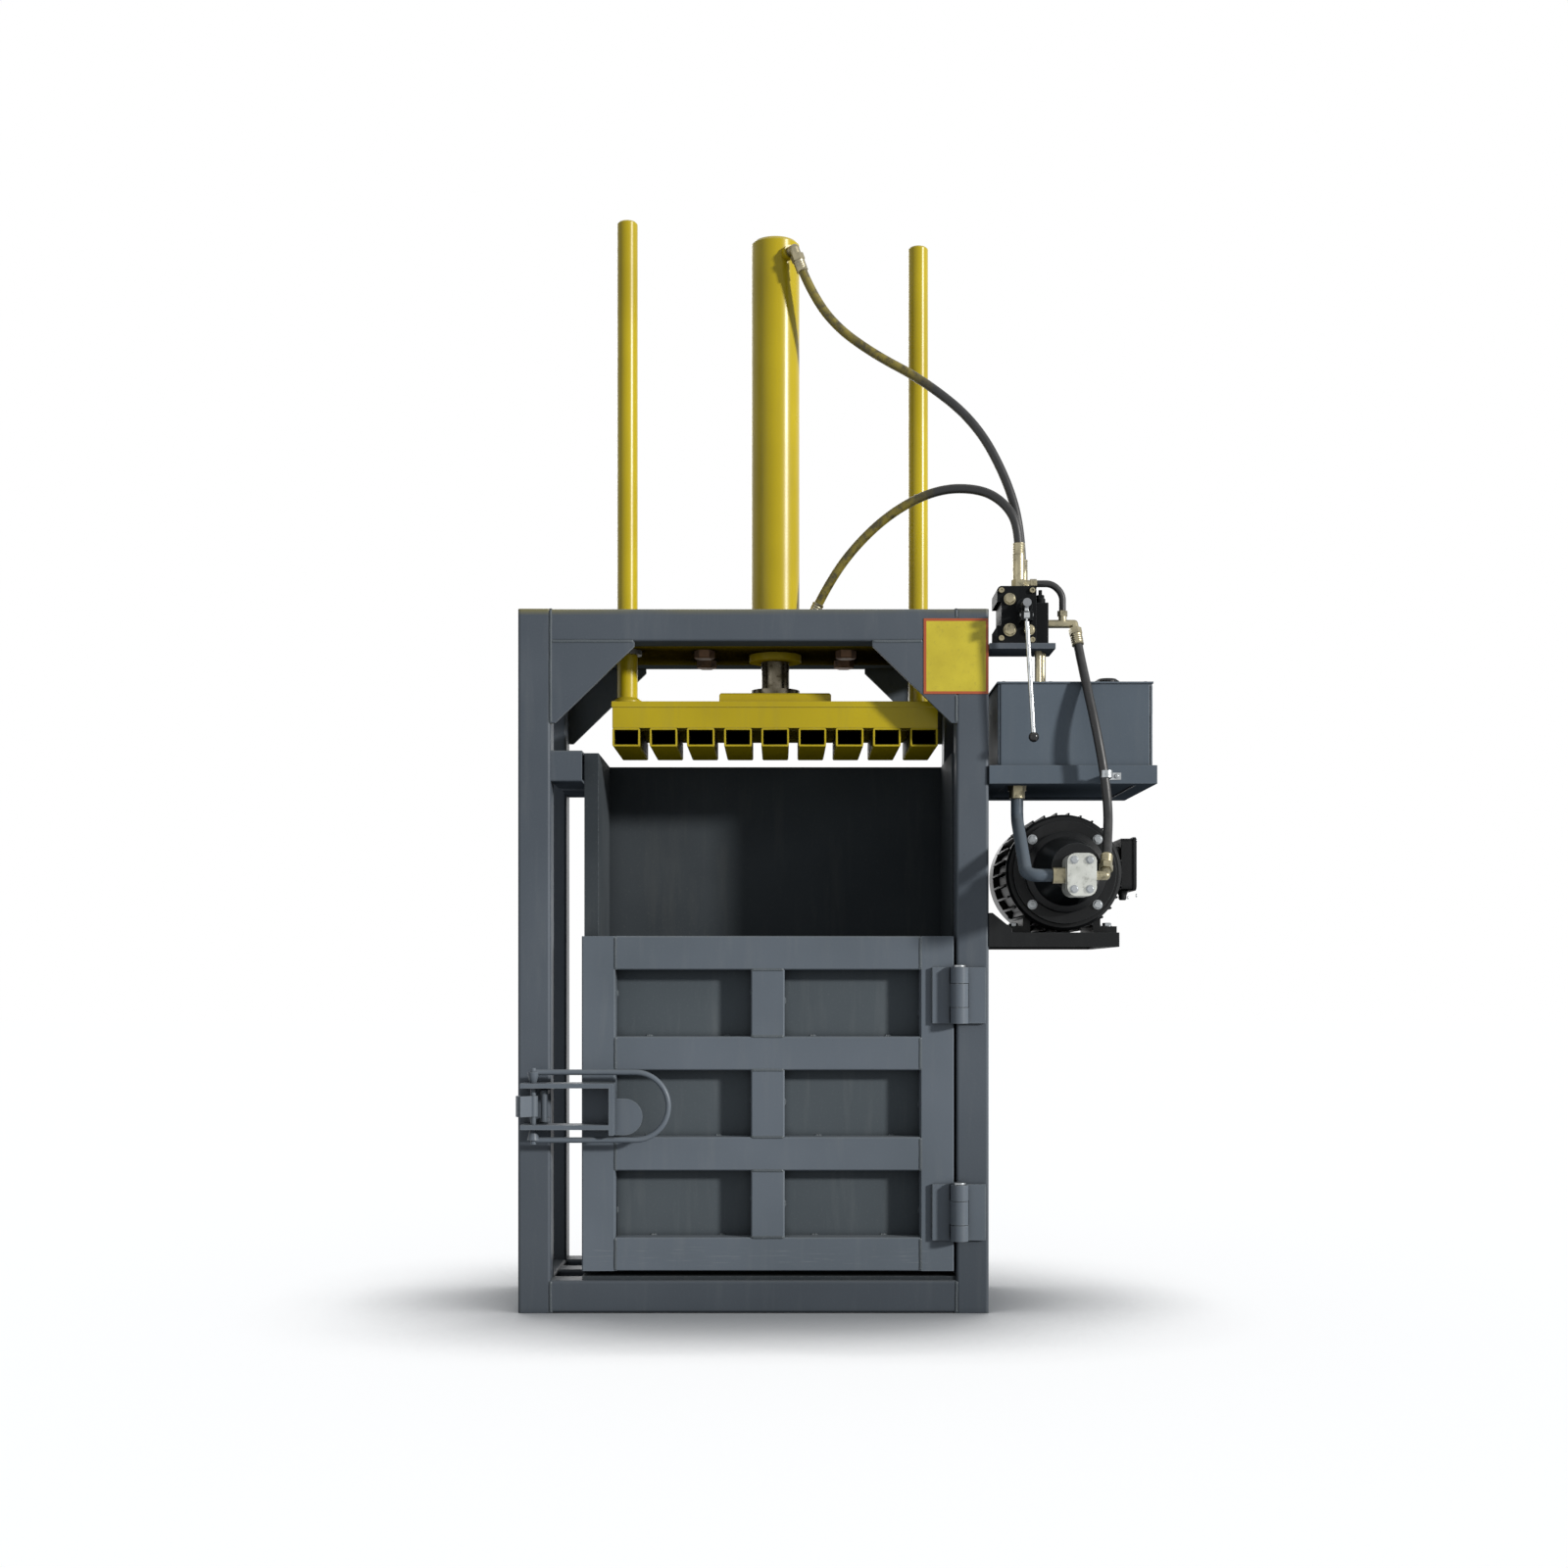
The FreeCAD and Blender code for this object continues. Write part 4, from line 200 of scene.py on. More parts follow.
    # undersides only caught dull overspray
    gloss = addNode(tree, "MapRange", {0: upward, 1: -0.95, 2: -0.6, 3: 0.0, 4: look["gloss"]})
    tree.links.new(gloss.outputs[0], shader.inputs["Specular IOR Level"])
    feed(tree, shader, look, "paint", layers, rough, bump)
    return material


# sizes are in millimetres and shares run from 0 to 1; grit and orange peel are finer in truth, and
# gritSize and peelSize are as coarse as they need to be to show
plainCoat = {
    "paint": "#535A62", "shade": "#495058", "dust": "#787C7D", "grimeAndShade": "#23272A", "bare": "#7E8488",
    "primer": "#303336", "cloudSize": 380, "runApart": 28, "runStretch": 0.12, "runs": 0.14, "gritSize": 5,
    "specks": 0.16, "lyingDust": 0.4, "darkerLowTop": 550, "darkerLowFoot": 20, "darkerLow": 0.35,
    "cornerReach": 22, "corners": 0.55, "edgeWide": 2.6, "rubbed": 0.75, "chipApart": 22, "chips": 0.5,
    "chipDeep": 0.15, "rough": 0.4, "dustRough": 0.35, "peelSize": 3.5, "peel": 0.10, "waveSize": 130,
    "waves": 0.5, "gloss": 0.22,
}
frameEnamel = sprayedEnamel("frameEnamelSprayed", {
    **plainCoat, "mist": "#A3963A", "mistFrom": 1496, "mistTo": 1510, "mistMost": 0.45})
doorCoat = {
    **plainCoat, "paint": "#616972", "shade": "#575F67", "runs": 0.18, "specks": 0.2, "rubbed": 0.9,
    "chips": 0.6, "waves": 0.7, "darkerLow": 0.0,
    "scraped": {"low": 98, "high": 135, "soft": 10, "stroke": 4, "stretch": 0.04, "most": 0.6}}
doorEnamel = sprayedEnamel("doorEnamelSprayed", doorCoat)
skinEnamel = sprayedEnamel("doorSkinEnamelSprayed", {
    **doorCoat, "paint": "#52595E", "shade": "#495055", "gloss": 0.12, "rough": 0.5, "darkerLow": 0.15})
weldEnamel = sprayedEnamel("weldEnamelSprayed", {
    **plainCoat, "paint": "#565D62", "shade": "#4A5156", "bare": "#8E9497", "gritSize": 2.5, "specks": 0.3,
    "cornerReach": 4, "corners": 0.3, "edgeWide": 1.2, "waves": 0.1})
# inside corners darken over a wide reach here: painted shade of the closed chamber, as well as grime
chamberEnamel = sprayedEnamel("chamberEnamelScraped", {
    **plainCoat, "paint": "#42474B", "shade": "#363B3F", "dust": "#5D5E5C", "bare": "#74797C", "runs": 0.2,
    "specks": 0.25, "rubbed": 0.85, "chips": 0.8, "rough": 0.6, "waves": 1.0, "gloss": 0.05,
    "cornerReach": 60})
tankEnamel = sprayedEnamel("tankEnamelSprayed", {
    **plainCoat, "paint": "#5A646E", "shade": "#515A63", "dust": "#7C8081", "runs": 0.12, "specks": 0.13,
    "rubbed": 0.6, "chips": 0.3, "rough": 0.38, "waveSize": 160, "waves": 1.2, "gloss": 0.15})
yellowCoat = {
    **plainCoat, "paint": "#BFAA17", "shade": "#AA9613", "dust": "#8D8137", "grimeAndShade": "#5A4A17",
    "bare": "#D8CE8C", "primer": "#5B5124", "runs": 0.2, "specks": 0.12, "darkerLow": 0.0, "corners": 0.7,
    "rubbed": 0.4, "chips": 0.6, "rough": 0.28, "waves": 0.3, "gloss": 0.27}
pressEnamel = sprayedEnamel("yellowEnamelSprayed", yellowCoat)
# the deck's underside and the inside of the platen's tubes are darkened far out of the corners: painted
# shade, as they stand in shadow
deckEnamelShadedBelow = sprayedEnamel("yellowEnamelShadedBelow", {
    **yellowCoat, "grimeAndShade": "#120C04", "cornerReach": 380, "corners": 1.0, "rough": 0.6, "gloss": 0.0})
tubeEnamelShadedInside = sprayedEnamel("yellowEnamelShadedInside", {
    **yellowCoat, "grimeAndShade": "#140E05", "cornerReach": 55, "corners": 1.0, "rough": 0.55, "gloss": 0.1})
blackCoat = {
    **plainCoat, "paint": "#111315", "shade": "#0C0D0E", "dust": "#303233", "grimeAndShade": "#0B0C0C",
    "bare": "#55595B", "primer": "#2A2A2A", "runs": 0.15, "gritSize": 3, "specks": 0.25, "rubbed": 0.6,
    "chips": 0.3, "rough": 0.36, "peelSize": 2.2, "peel": 0.3, "waves": 0.4}
motorEnamel = sprayedEnamel("castIronEnamelBrushed", blackCoat)
valveEnamel = sprayedEnamel("castIronEnamelOily", {
    **blackCoat, "rough": 0.55, "gloss": 0.08, "lyingDust": 0.2})


def workedMetal(name, look):
    # a metal with fine tool lines or casting grain, a haze of handling and dark grease in patches
    material, tree, shader = newMaterial(name)
    place = addNode(tree, "TexCoord").outputs["Object"]
    drawn = addNode(tree, "Mapping", {"Vector": place, "Scale": look["along"]})
    haze = addNode(tree, "TexNoise", {"Vector": place, "Scale": 1000 / look["hazeSize"], "Detail": 4.0})
    lines = addNode(tree, "TexNoise", {"Vector": drawn, "Scale": 1000 / look["lineApart"], "Detail": 2.0})
    smear = addNode(tree, "TexNoise", {"Vector": place, "Scale": 1000 / look["smearSize"], "Detail": 5.0,
                                       "Roughness": 0.7})
    hazy = addNode(tree, "MapRange", {0: haze, 1: 0.35, 2: 0.7})
    grease = addNode(tree, "MapRange", {0: smear, 1: 0.56, 2: 0.7, 3: 0.0, 4: look["grease"]})
    rough = addNode(tree, "MapRange", {0: haze, 1: 0.3, 2: 0.7, 3: look["rough"] - 0.06,
                                       4: look["rough"] + 0.1})
    rough = addNode(tree, "Math", {0: grease, 1: look["greaseRough"], 2: rough}, operation="MULTIPLY_ADD")
    bump = addNode(tree, "Bump", {"Height": lines, "Distance": look["lineDeep"] * mm, "Strength": 0.4})
    shader.inputs["Metallic"].default_value = 1.0
    feed(tree, shader, look, "metal", [(hazy, "haze"), (grease, "greaseTone")], rough, bump)
    return material


# along draws the lines out on an axis where it is low; they are far finer in truth, and lineApart is
# as coarse as it needs to be to show
plainMetal = {
    "metal": "#A9ADB0", "haze": "#8E9294", "hazeSize": 30, "rough": 0.34, "grease": 0.4, "smearSize": 15,
    "greaseTone": "#26221C", "greaseRough": 0.2, "along": (1, 1, 6), "lineApart": 2, "lineDeep": 0.1}
zincSteel = workedMetal("zincPlatedSteelTurned", plainMetal)
fittingSteel = workedMetal("yellowPassivatedSteelTurned", {
    **plainMetal, "metal": "#A39B80", "haze": "#7F7A68", "grease": 0.6, "rough": 0.36})
rustedSteel = workedMetal("mildSteelRusted", {
    **plainMetal, "metal": "#66503F", "haze": "#4E4034", "grease": 0.5, "rough": 0.6, "lineDeep": 0.3,
    "along": (1, 1, 1)})
brightSteel = workedMetal("steelBrightDrawn", {
    **plainMetal, "metal": "#C4C7C9", "haze": "#A8ACAE", "rough": 0.24, "grease": 0.2, "along": (6, 6, 0.5)})
groundSteel = workedMetal("steelGround", {
    **plainMetal, "metal": "#8C8F92", "haze": "#74777A", "rough": 0.3, "grease": 0.5, "along": (1, 6, 1)})
# the rod's chrome is painted dark brown: painted shade from the deck above it, with a film of old oil in
# patches
shadedChrome = workedMetal("hardChromeGround", {
    **plainMetal, "metal": "#6B6558", "haze": "#464031", "rough": 0.22, "grease": 0.7,
    "greaseTone": "#1C1508", "along": (1, 1, 8)})
castAluminium = workedMetal("aluminiumSandCast", {
    **plainMetal, "metal": "#C0C2BD", "haze": "#A3A5A0", "rough": 0.48, "grease": 0.35, "along": (1, 1, 1),
    "lineDeep": 0.3})
castIron = workedMetal("greyIronTurned", {
    **plainMetal, "metal": "#5E5D59", "haze": "#4A4946", "rough": 0.5, "grease": 0.6, "along": (1, 1, 1)})


def mouldedCover(name, look):
    # extruded rubber or moulded plastic: matt and dark, with scuffs and dust lying along the top
    material, tree, shader = newMaterial(name)
    place = addNode(tree, "TexCoord").outputs["Object"]
    facing = addNode(tree, "NewGeometry").outputs["Normal"]
    upward = addNode(tree, "SeparateXYZ", {0: facing}).outputs["Z"]
    patch = addNode(tree, "TexNoise", {"Vector": place, "Scale": 1000 / look["patchSize"], "Detail": 5.0,
                                       "Roughness": 0.65})
    grain = addNode(tree, "TexNoise", {"Vector": place, "Scale": 1000 / look["grainSize"], "Detail": 2.0})
    layers = [(addNode(tree, "MapRange", {0: patch, 1: 0.4, 2: 0.7}), "scuff")]
    if "mist" in look:
        # yellow mist from the press, on the part of the hose that hung beside it
        end, soft = look["mistEnd"] * mm, look["mistSoft"] * mm
        across = addNode(tree, "SeparateXYZ", {0: place}).outputs["X"]
        beside = addNode(tree, "MapRange", {0: across, 1: end + soft, 2: end - soft})
        blotch = addNode(tree, "MapRange", {0: patch, 1: 0.38, 2: 0.56, 3: 0.2, 4: 0.9})
        misted = addNode(tree, "Math", {0: beside, 1: blotch}, operation="MULTIPLY")
        layers.append((misted, "mist"))
    lying = addNode(tree, "MapRange", {0: upward, 1: 0.3, 2: 1.0})
    patchy = addNode(tree, "MapRange", {0: patch, 1: 0.35, 2: 0.6, 3: 0.0, 4: look["lyingDust"]})
    layers.append((addNode(tree, "Math", {0: lying, 1: patchy}, operation="MULTIPLY"), "dust"))
    rough = addNode(tree, "MapRange", {0: patch, 1: 0.3, 2: 0.7, 3: look["rough"], 4: look["rough"] + 0.15})
    bump = addNode(tree, "Bump", {"Height": grain, "Distance": look["grainDeep"] * mm,
                                  "Strength": look["grain"]})
    feed(tree, shader, look, "body", layers, rough, bump)
    return material


plainMoulding = {
    "patchSize": 20, "grainSize": 1.2, "grainDeep": 0.2, "dust": "#6A6863", "lyingDust": 0.3}
hoseRubber = mouldedCover("rubberExtruded", {
    **plainMoulding, "body": "#121314", "scuff": "#1E1F21", "rough": 0.38, "grain": 0.5,
    "mist": "#7C6F22", "mistEnd": 365, "mistSoft": 30})
knobPlastic = mouldedCover("phenolicMoulded", {
    **plainMoulding, "body": "#0E0E10", "scuff": "#161719", "rough": 0.14, "grain": 0.1})
fanPlastic = mouldedCover("nylonMoulded", {
    **plainMoulding, "body": "#202224", "scuff": "#2C2E30", "rough": 0.5, "grain": 0.3})

plateLook = {
    "face": "#CDBD33", "faded": "#BBAA2B", "fadeSize": 60, "edge": "#A8502A", "border": 5.8, "soft": 0.4,
    "dirt": "#6D6430", "cornerGrimeAndShade": 0.35, "dirtSize": 9, "dentSize": 40, "dentDeep": 0.6,
}


def printedPlate(name, look):
    # thin tinplate, printed and left bare: a flat yellow face inside a brick-coloured border
    low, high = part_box("front_plate")
    material, tree, shader = newMaterial(name)
    place = addNode(tree, "TexCoord").outputs["Object"]
    axes = addNode(tree, "SeparateXYZ", {0: place})
    distances = []
    for axis, socket in ((0, axes.outputs["X"]), (2, axes.outputs["Z"])):
        middle, half = (low[axis] + high[axis]) / 2, (high[axis] - low[axis]) / 2
        away = addNode(tree, "Math", {0: socket, 1: middle}, operation="SUBTRACT")
        away = addNode(tree, "Math", {0: away}, operation="ABSOLUTE")
        distances.append(addNode(tree, "MapRange", {0: away, 1: half - (look["border"] + look["soft"]) * mm,
                                                    2: half - (look["border"] - look["soft"]) * mm}))
    border = addNode(tree, "Math", {0: distances[0], 1: distances[1]}, operation="MAXIMUM")
    sun = addNode(tree, "TexNoise", {"Vector": place, "Scale": 1000 / look["fadeSize"], "Detail": 4.0})
    sunned = addNode(tree, "MapRange", {0: sun, 1: 0.3, 2: 0.7})
    soil = addNode(tree, "TexNoise", {"Vector": place, "Scale": 1000 / look["dirtSize"], "Detail": 6.0,
                                      "Roughness": 0.7})
    soiled = addNode(tree, "MapRange", {0: soil, 1: 0.56, 2: 0.76, 3: 0.0, 4: look["cornerGrimeAndShade"]})
    rough = addNode(tree, "MapRange", {0: soil, 1: 0.3, 2: 0.7, 3: 0.3, 4: 0.5})
    dents = addNode(tree, "TexNoise", {"Vector": place, "Scale": 1000 / look["dentSize"], "Detail": 2.0})
    bump = addNode(tree, "Bump", {"Height": dents, "Distance": look["dentDeep"] * mm, "Strength": 0.7})
    feed(tree, shader, look, "face", [(sunned, "faded"), (border, "edge"), (soiled, "dirt")], rough, bump)
    return material


plateFinish = printedPlate("tinplatePrinted", plateLook)

finishes = {
    frameEnamel: ("front_posts", "rear_posts", "top_beams", "base_beams", "side_rails", "corner_gussets",
                  "chamber_ties", "latch_keeper", "valve_shelf"),
    skinEnamel: ("door_skin",),
    doorEnamel: ("door_grid", "door_hinge_leaves", "frame_hinge_leaves", "latch_bracket",
                 "latch_handle"),
    chamberEnamel: ("chamber_wall_left", "chamber_wall_right", "chamber_wall_back", "chamber_floor"),
    tankEnamel: ("tank_shell", "tank_lid", "tank_tray", "suction_pipe"),
    pressEnamel: ("cylinder_tube", "cylinder_head", "platen_beam", "platen_pad", "guide_rods"),
    deckEnamelShadedBelow: ("top_deck",),
    tubeEnamelShadedInside: ("platen_tubes",),
    motorEnamel: ("motor_housing", "motor_end_shields", "fan_cowl", "terminal_box", "bell_housing",
                  "motor_shelf", "filler_cap"),
    valveEnamel: ("valve_body", "relief_valve"),
    castAluminium: ("pump_body",),
    zincSteel: ("hinge_pins", "hex_bolts"),
    fittingSteel: ("return_pipes", "hose_fittings"),
    brightSteel: ("valve_lever",),
    groundSteel: ("piston", "motor_bearings", "motor_rotor", "drive_gear", "idler_gear", "valve_spool"),
    shadedChrome: ("piston_rod",),
    castIron: ("guide_bushes",),
    hoseRubber: ("cap_end_hose", "rod_end_hose", "pressure_hose", "loop_pipe"),
    knobPlastic: ("lever_knob",),
    fanPlastic: ("cooling_fan",),
    plateFinish: ("front_plate",),
}
for finish, names in finishes.items():
    for name in names:
        nodes[name].data.materials.clear()
        nodes[name].data.materials.append(finish)
print("materials made and given to", sum(len(names) for names in finishes.values()), "nodes")

# how far each node's real edges are broken, in millimetres; the rest are only just blunted
plainEdge = 0.35
pipeNodes = ("cap_end_hose", "rod_end_hose", "pressure_hose", "loop_pipe", "suction_pipe")
framedNodes = ("chamber_wall_left",)  # its rim is a frame round two openings and stays in small faces
edgeRadii = {
    "corner_gussets": 1.0, "top_deck": 1.0, "chamber_wall_left": 0.8, "chamber_wall_right": 0.8,
    "chamber_wall_back": 0.8, "chamber_floor": 0.8, "front_plate": 0.3, "frame_hinge_leaves": 1.2,
    "door_hinge_leaves": 1.2, "hinge_pins": 1.0, "latch_keeper": 1.0, "latch_bracket": 1.0,
    "tank_tray": 1.0, "tank_lid": 0.8, "motor_shelf": 1.2, "valve_shelf": 1.0, "valve_body": 1.5,
    "platen_beam": 1.0, "platen_pad": 1.0, "door_skin": 0.8, "pump_body": 1.0, "terminal_box": 1.2,
    "motor_housing": 0.7, "bell_housing": 1.2, "cylinder_head": 1.5, "hose_fittings": 0.7,
    "relief_valve": 1.0, "platen_tubes": 0.6, "door_grid": 0.6, "front_posts": 0.6, "rear_posts": 0.6,
    "top_beams": 0.6, "base_beams": 0.6, "side_rails": 0.6,
}
edgeLook = {"weldWithin": 0.01, "flatWithin": 0.8, "sharpFrom": 40, "segments": 2}  # millimetres and degrees


def softenEdges(node, radius, merged, look):
    # the mesh's own normals don't fit edges that are broken afterwards
    if "custom_normal" in node.data.attributes:
        node.data.attributes.remove(node.data.attributes["custom_normal"])
    for face in node.data.polygons:
        face.use_smooth = True
    weld = node.modifiers.new("weld", "WELD")
    weld.merge_threshold = look["weldWithin"] * mm
    if merged:
        flat = node.modifiers.new("flat", "DECIMATE")
        flat.decimate_type = "DISSOLVE"
        flat.angle_limit = math.radians(look["flatWithin"])
    if radius:
        edges = node.modifiers.new("edges", "BEVEL")
        edges.width = radius * mm
        edges.segments = look["segments"]
        edges.limit_method = "ANGLE"
        edges.angle_limit = math.radians(look["sharpFrom"])
        edges.miter_outer = "MITER_ARC"
    normals = node.modifiers.new("normals", "WEIGHTED_NORMAL")
    normals.keep_sharp = True


for name, node in nodes.items():
    pipe = name in pipeNodes
    radius = 0 if pipe else edgeRadii.get(name, plainEdge)
    softenEdges(node, radius, not pipe and name not in framedNodes, edgeLook)
print("edges softened")

# the hose points are the routes of the CAD tubes, in metres
hoses = {
    "cap_end_hose": {
        "points": [(0.09846, -0.0746, 2.2997), (0.118, -0.0765, 2.246), (0.172, -0.0785, 2.16),
                   (0.262, -0.083, 2.092), (0.375, -0.091, 2.03), (0.488, -0.101, 1.935),
                   (0.556, -0.119, 1.8), (0.583, -0.133, 1.683), (0.583, -0.133, 1.602)],
        "diameter": 0.02, "length": 0.898},
    "rod_end_hose": {
        "points": [(0.1318, -0.0463, 1.5252), (0.154, -0.0535, 1.573), (0.212, -0.071, 1.66),
                   (0.3, -0.097, 1.74), (0.4, -0.129, 1.784), (0.4905, -0.16, 1.777),
                   (0.5435, -0.177, 1.741), (0.571, -0.184, 1.688), (0.571, -0.184, 1.628)],
        "diameter": 0.02, "length": 0.671},
    "pressure_hose": {
        "points": [(0.6962, -0.1682, 1.4595), (0.702, -0.183, 1.415), (0.713, -0.22, 1.335),
                   (0.729, -0.247, 1.24), (0.745, -0.249, 1.15), (0.751, -0.262, 1.07),
                   (0.742, -0.305, 1.003), (0.7329, -0.3433, 0.9521)],
        "diameter": 0.02, "length": 0.551},
}


def layHose(name, route):
    curve = bpy.data.curves.new(name + "_line", "CURVE")
    curve.dimensions = "3D"
    curve.resolution_u = 10
    curve.bevel_depth = route["diameter"] / 2
    curve.bevel_resolution = 5
    curve.use_fill_caps = True
    line = curve.splines.new("NURBS")
    line.points.add(len(route["points"]) - 1)
    for spot, place in zip(line.points, route["points"]):
        spot.co = (*place, 1)
    line.order_u = 3
    line.use_endpoint_u = True
    hose = bpy.data.objects.new(name + "_line", curve)
    scene.collection.objects.link(hose)
    curve.materials.append(hoseRubber)
    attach(hose, "frame")
    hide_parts(name)


for name, route in hoses.items():
    layHose(name, route)
print("hoses laid")

sharpPiece = 38  # degrees between two faces of an added piece, from which their edge stays sharp


def settle(name, mesh, finish, body, stands=()):
    # turns a finished bmesh into a piece that rides on a body
    bmesh.ops.recalc_face_normals(mesh, faces=mesh.faces)
    data = bpy.data.meshes.new(name)
    mesh.to_mesh(data)
    mesh.free()
    data.materials.append(finish)
    for face in data.polygons:
        face.use_smooth = True
    data.set_sharp_from_angle(angle=math.radians(sharpPiece))
    piece = bpy.data.objects.new(name, data)
    scene.collection.objects.link(piece)
    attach(piece, body)
    if stands:
        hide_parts(*stands)
    print(name, "has", len(data.polygons), "faces")


def bridge(mesh, rings, looped=False, capped=False):
    # faces from each ring of corners to the next, where a ring may be a single point
    for near, far in list(zip(rings, rings[1:])) + ([(rings[-1], rings[0])] if looped else []):
        count = max(len(near), len(far))
        for part in range(count):
            after = (part + 1) % count
            corners = (near[part % len(near)], near[after % len(near)],
                       far[after % len(far)], far[part % len(far)])
            mesh.faces.new(list(dict.fromkeys(corners)))
    if capped:
        mesh.faces.new(rings[0])
        mesh.faces.new(rings[-1][::-1])


def turnProfile(mesh, profile, base, axis, segments=32, side=None, looped=False):
    # spins (radius, height) pairs round an axis, all in millimetres
    axis = Vector(axis).normalized()
    side = (Vector(side) if side else axis.orthogonal()).normalized()
    other = axis.cross(side)
    rings = []
    for radius, height in profile:
        middle = (Vector(base) + axis * height) * mm
        around = [2 * math.pi * turn / segments for turn in range(segments if radius else 1)]
        rings.append([mesh.verts.new(middle + (side * math.cos(a) + other * math.sin(a)) * radius * mm)
                      for a in around])
    bridge(mesh, rings, looped)


def hexHead(mesh, base, axis, corners, high, side):
    # a forged head: six flats, and a chamfer that cuts the corners down to the flats
    out = corners / 2
    turnProfile(mesh, [(0, 0), (out, 0), (out, high - 0.1 * out), (out * 0.86, high), (0, high)],
                base, axis, 6, side)


def washer(mesh, base, axis, out, bore, thick):
    # stamped: the die drew its upper outside edge down
    turnProfile(mesh, [(bore, 0), (out, 0), (out, thick * 0.7), (out - thick * 0.3, thick), (bore, thick)],
                base, axis, looped=True)


def threadEnd(mesh, base, axis, radius, high, pitch):
    # the bolt's end beyond its nut, with the thread drawn as grooves one pitch apart
    profile = [(0, 0), (radius, 0)]
    for turn in range(int(high / pitch)):
        at = turn * pitch
        profile += [(radius, at + 0.35 * pitch), (radius * 0.9, at + 0.6 * pitch),
                    (radius, at + 0.85 * pitch)]
    profile += [(radius, high - 1), (radius - 1.2, high), (0, high)]
    turnProfile(mesh, profile, base, axis, 24)


# the big bolts that hold the cylinder's flange to the deck, in millimetres: nut and stud above, head below
deckBolts = {
    "places": [(x, y) for x in (-109.5, 202.5) for y in (-70, 70)], "nutFoot": 1480, "headTop": 1440,
    "corners": 45.4, "high": 18, "stud": 12, "studHigh": 8, "pitch": 2.6,
}


def makeDeckBolts(look):
    mesh = bmesh.new()
    foot, high = look["nutFoot"], look["high"]
    for x, y in look["places"]:
        hexHead(mesh, (x, y, foot), (0, 0, 1), look["corners"], high, (1, 0, 0))
        threadEnd(mesh, (x, y, foot + high), (0, 0, 1), look["stud"], look["studHigh"], look["pitch"])
    for x, y in look["places"]:
        hexHead(mesh, (x, y, look["headTop"]), (0, 0, -1), look["corners"], high, (1, 0, 0))
    settle("deck_bolts", mesh, rustedSteel, "frame", ["hex_bolts"])


# smaller bolts, in millimetres: each row is where the washer lies, its way out, the head's width over
# corners and its height; the radii below are shares of the width over corners
smallBolts = {
    "rows": [((x, y, 832), (0, 0, 1), 20, 8) for x in (572, 778) for y in (-73, 67)]
    + [((x, -150, z), (0, -1, 0), 18, 7) for x in (604.3, 745.7) for z in (877.3, 1018.7)]
    + [((x, -400, z), (0, -1, 0), 14, 6) for x in (659, 691) for z in (900, 960)],
    "thick": 1.6, "washerOut": 0.6, "washerBore": 0.28, "shank": 0.3,
}


def makeSmallBolts(look):
    mesh = bmesh.new()
    thick = look["thick"]
    for place, out, corners, high in look["rows"]:
        washer(mesh, place, out, corners * look["washerOut"], corners * look["washerBore"], thick)
        seat = Vector(place) + Vector(out) * thick
        hexHead(mesh, seat, out, corners, high - thick, (1, 0, 0))
        shank = corners * look["shank"]
        turnProfile(mesh, [(0, 0), (shank, 0), (shank, thick + 1), (0, thick + 1)], place, out, 16)
    settle("small_bolts", mesh, zincSteel, "frame")


makeDeckBolts(deckBolts)
makeSmallBolts(smallBolts)

# ferrules are crimped onto both ends of every hose, with grooves where the dies bit; millimetres
ferruleLook = {
    "long": 26, "radius": 13.2, "bore": 9.8, "lip": 3, "grooves": 4, "grooveDeep": 0.9, "segments": 16,
}


def ferruleProfile(look):
    out, deep = look["radius"], look["radius"] - look["grooveDeep"]
    profile = [(look["bore"], 0), (out - 1, 0), (out, 1)]
    step = (look["long"] - 2 * look["lip"]) / look["grooves"]
    for groove in range(look["grooves"]):
        at = look["lip"] + groove * step
        profile += [(out, at), (deep, at + step * 0.25), (deep, at + step * 0.55), (out, at + step * 0.8)]
    return profile + [(out, look["long"] - 1.5), (out - 2, look["long"]), (look["bore"], look["long"])]


def makeFerrules(look):
    mesh = bmesh.new()
    for route in hoses.values():
        points = [Vector(point) / mm for point in route["points"]]
        for end, inner in ((points[0], points[1]), (points[-1], points[-2])):
            turnProfile(mesh, ferruleProfile(look), end, inner - end, look["segments"], looped=True)
    settle("hose_ferrules", mesh, fittingSteel, "frame")


makeFerrules(ferruleLook)

# every weld: stick-welded, about 7 mm wide, one ripple for each 3.2 mm of travel
beadLook = {
    "wide": 7.0, "high": 2.2, "ripple": 3.2, "station": 1.6, "sunk": 0.4, "wander": 0.5, "crescent": 1.4,
    "facets": 6,
}


def straightRun(start, end, facing):
    start, end = Vector(start), Vector(end)
    count = max(4, round((end - start).length / beadLook["station"]))
    return [(start.lerp(end, step / count), (end - start).normalized(), Vector(facing).normalized())
            for step in range(count + 1)]


def roundRun(middle, radius):
    # a fillet round an upright tube, facing half up and half away from it
    axis = Vector((0, 0, 1))
    side = axis.orthogonal().normalized()
    count = round(2 * math.pi * radius / beadLook["station"])
    made = []
    for step in range(count):
        turn = 2 * math.pi * step / count
        away = side * math.cos(turn) + axis.cross(side) * math.sin(turn)
        made.append((Vector(middle) + away * radius, axis.cross(away), (away + axis).normalized()))
    return made


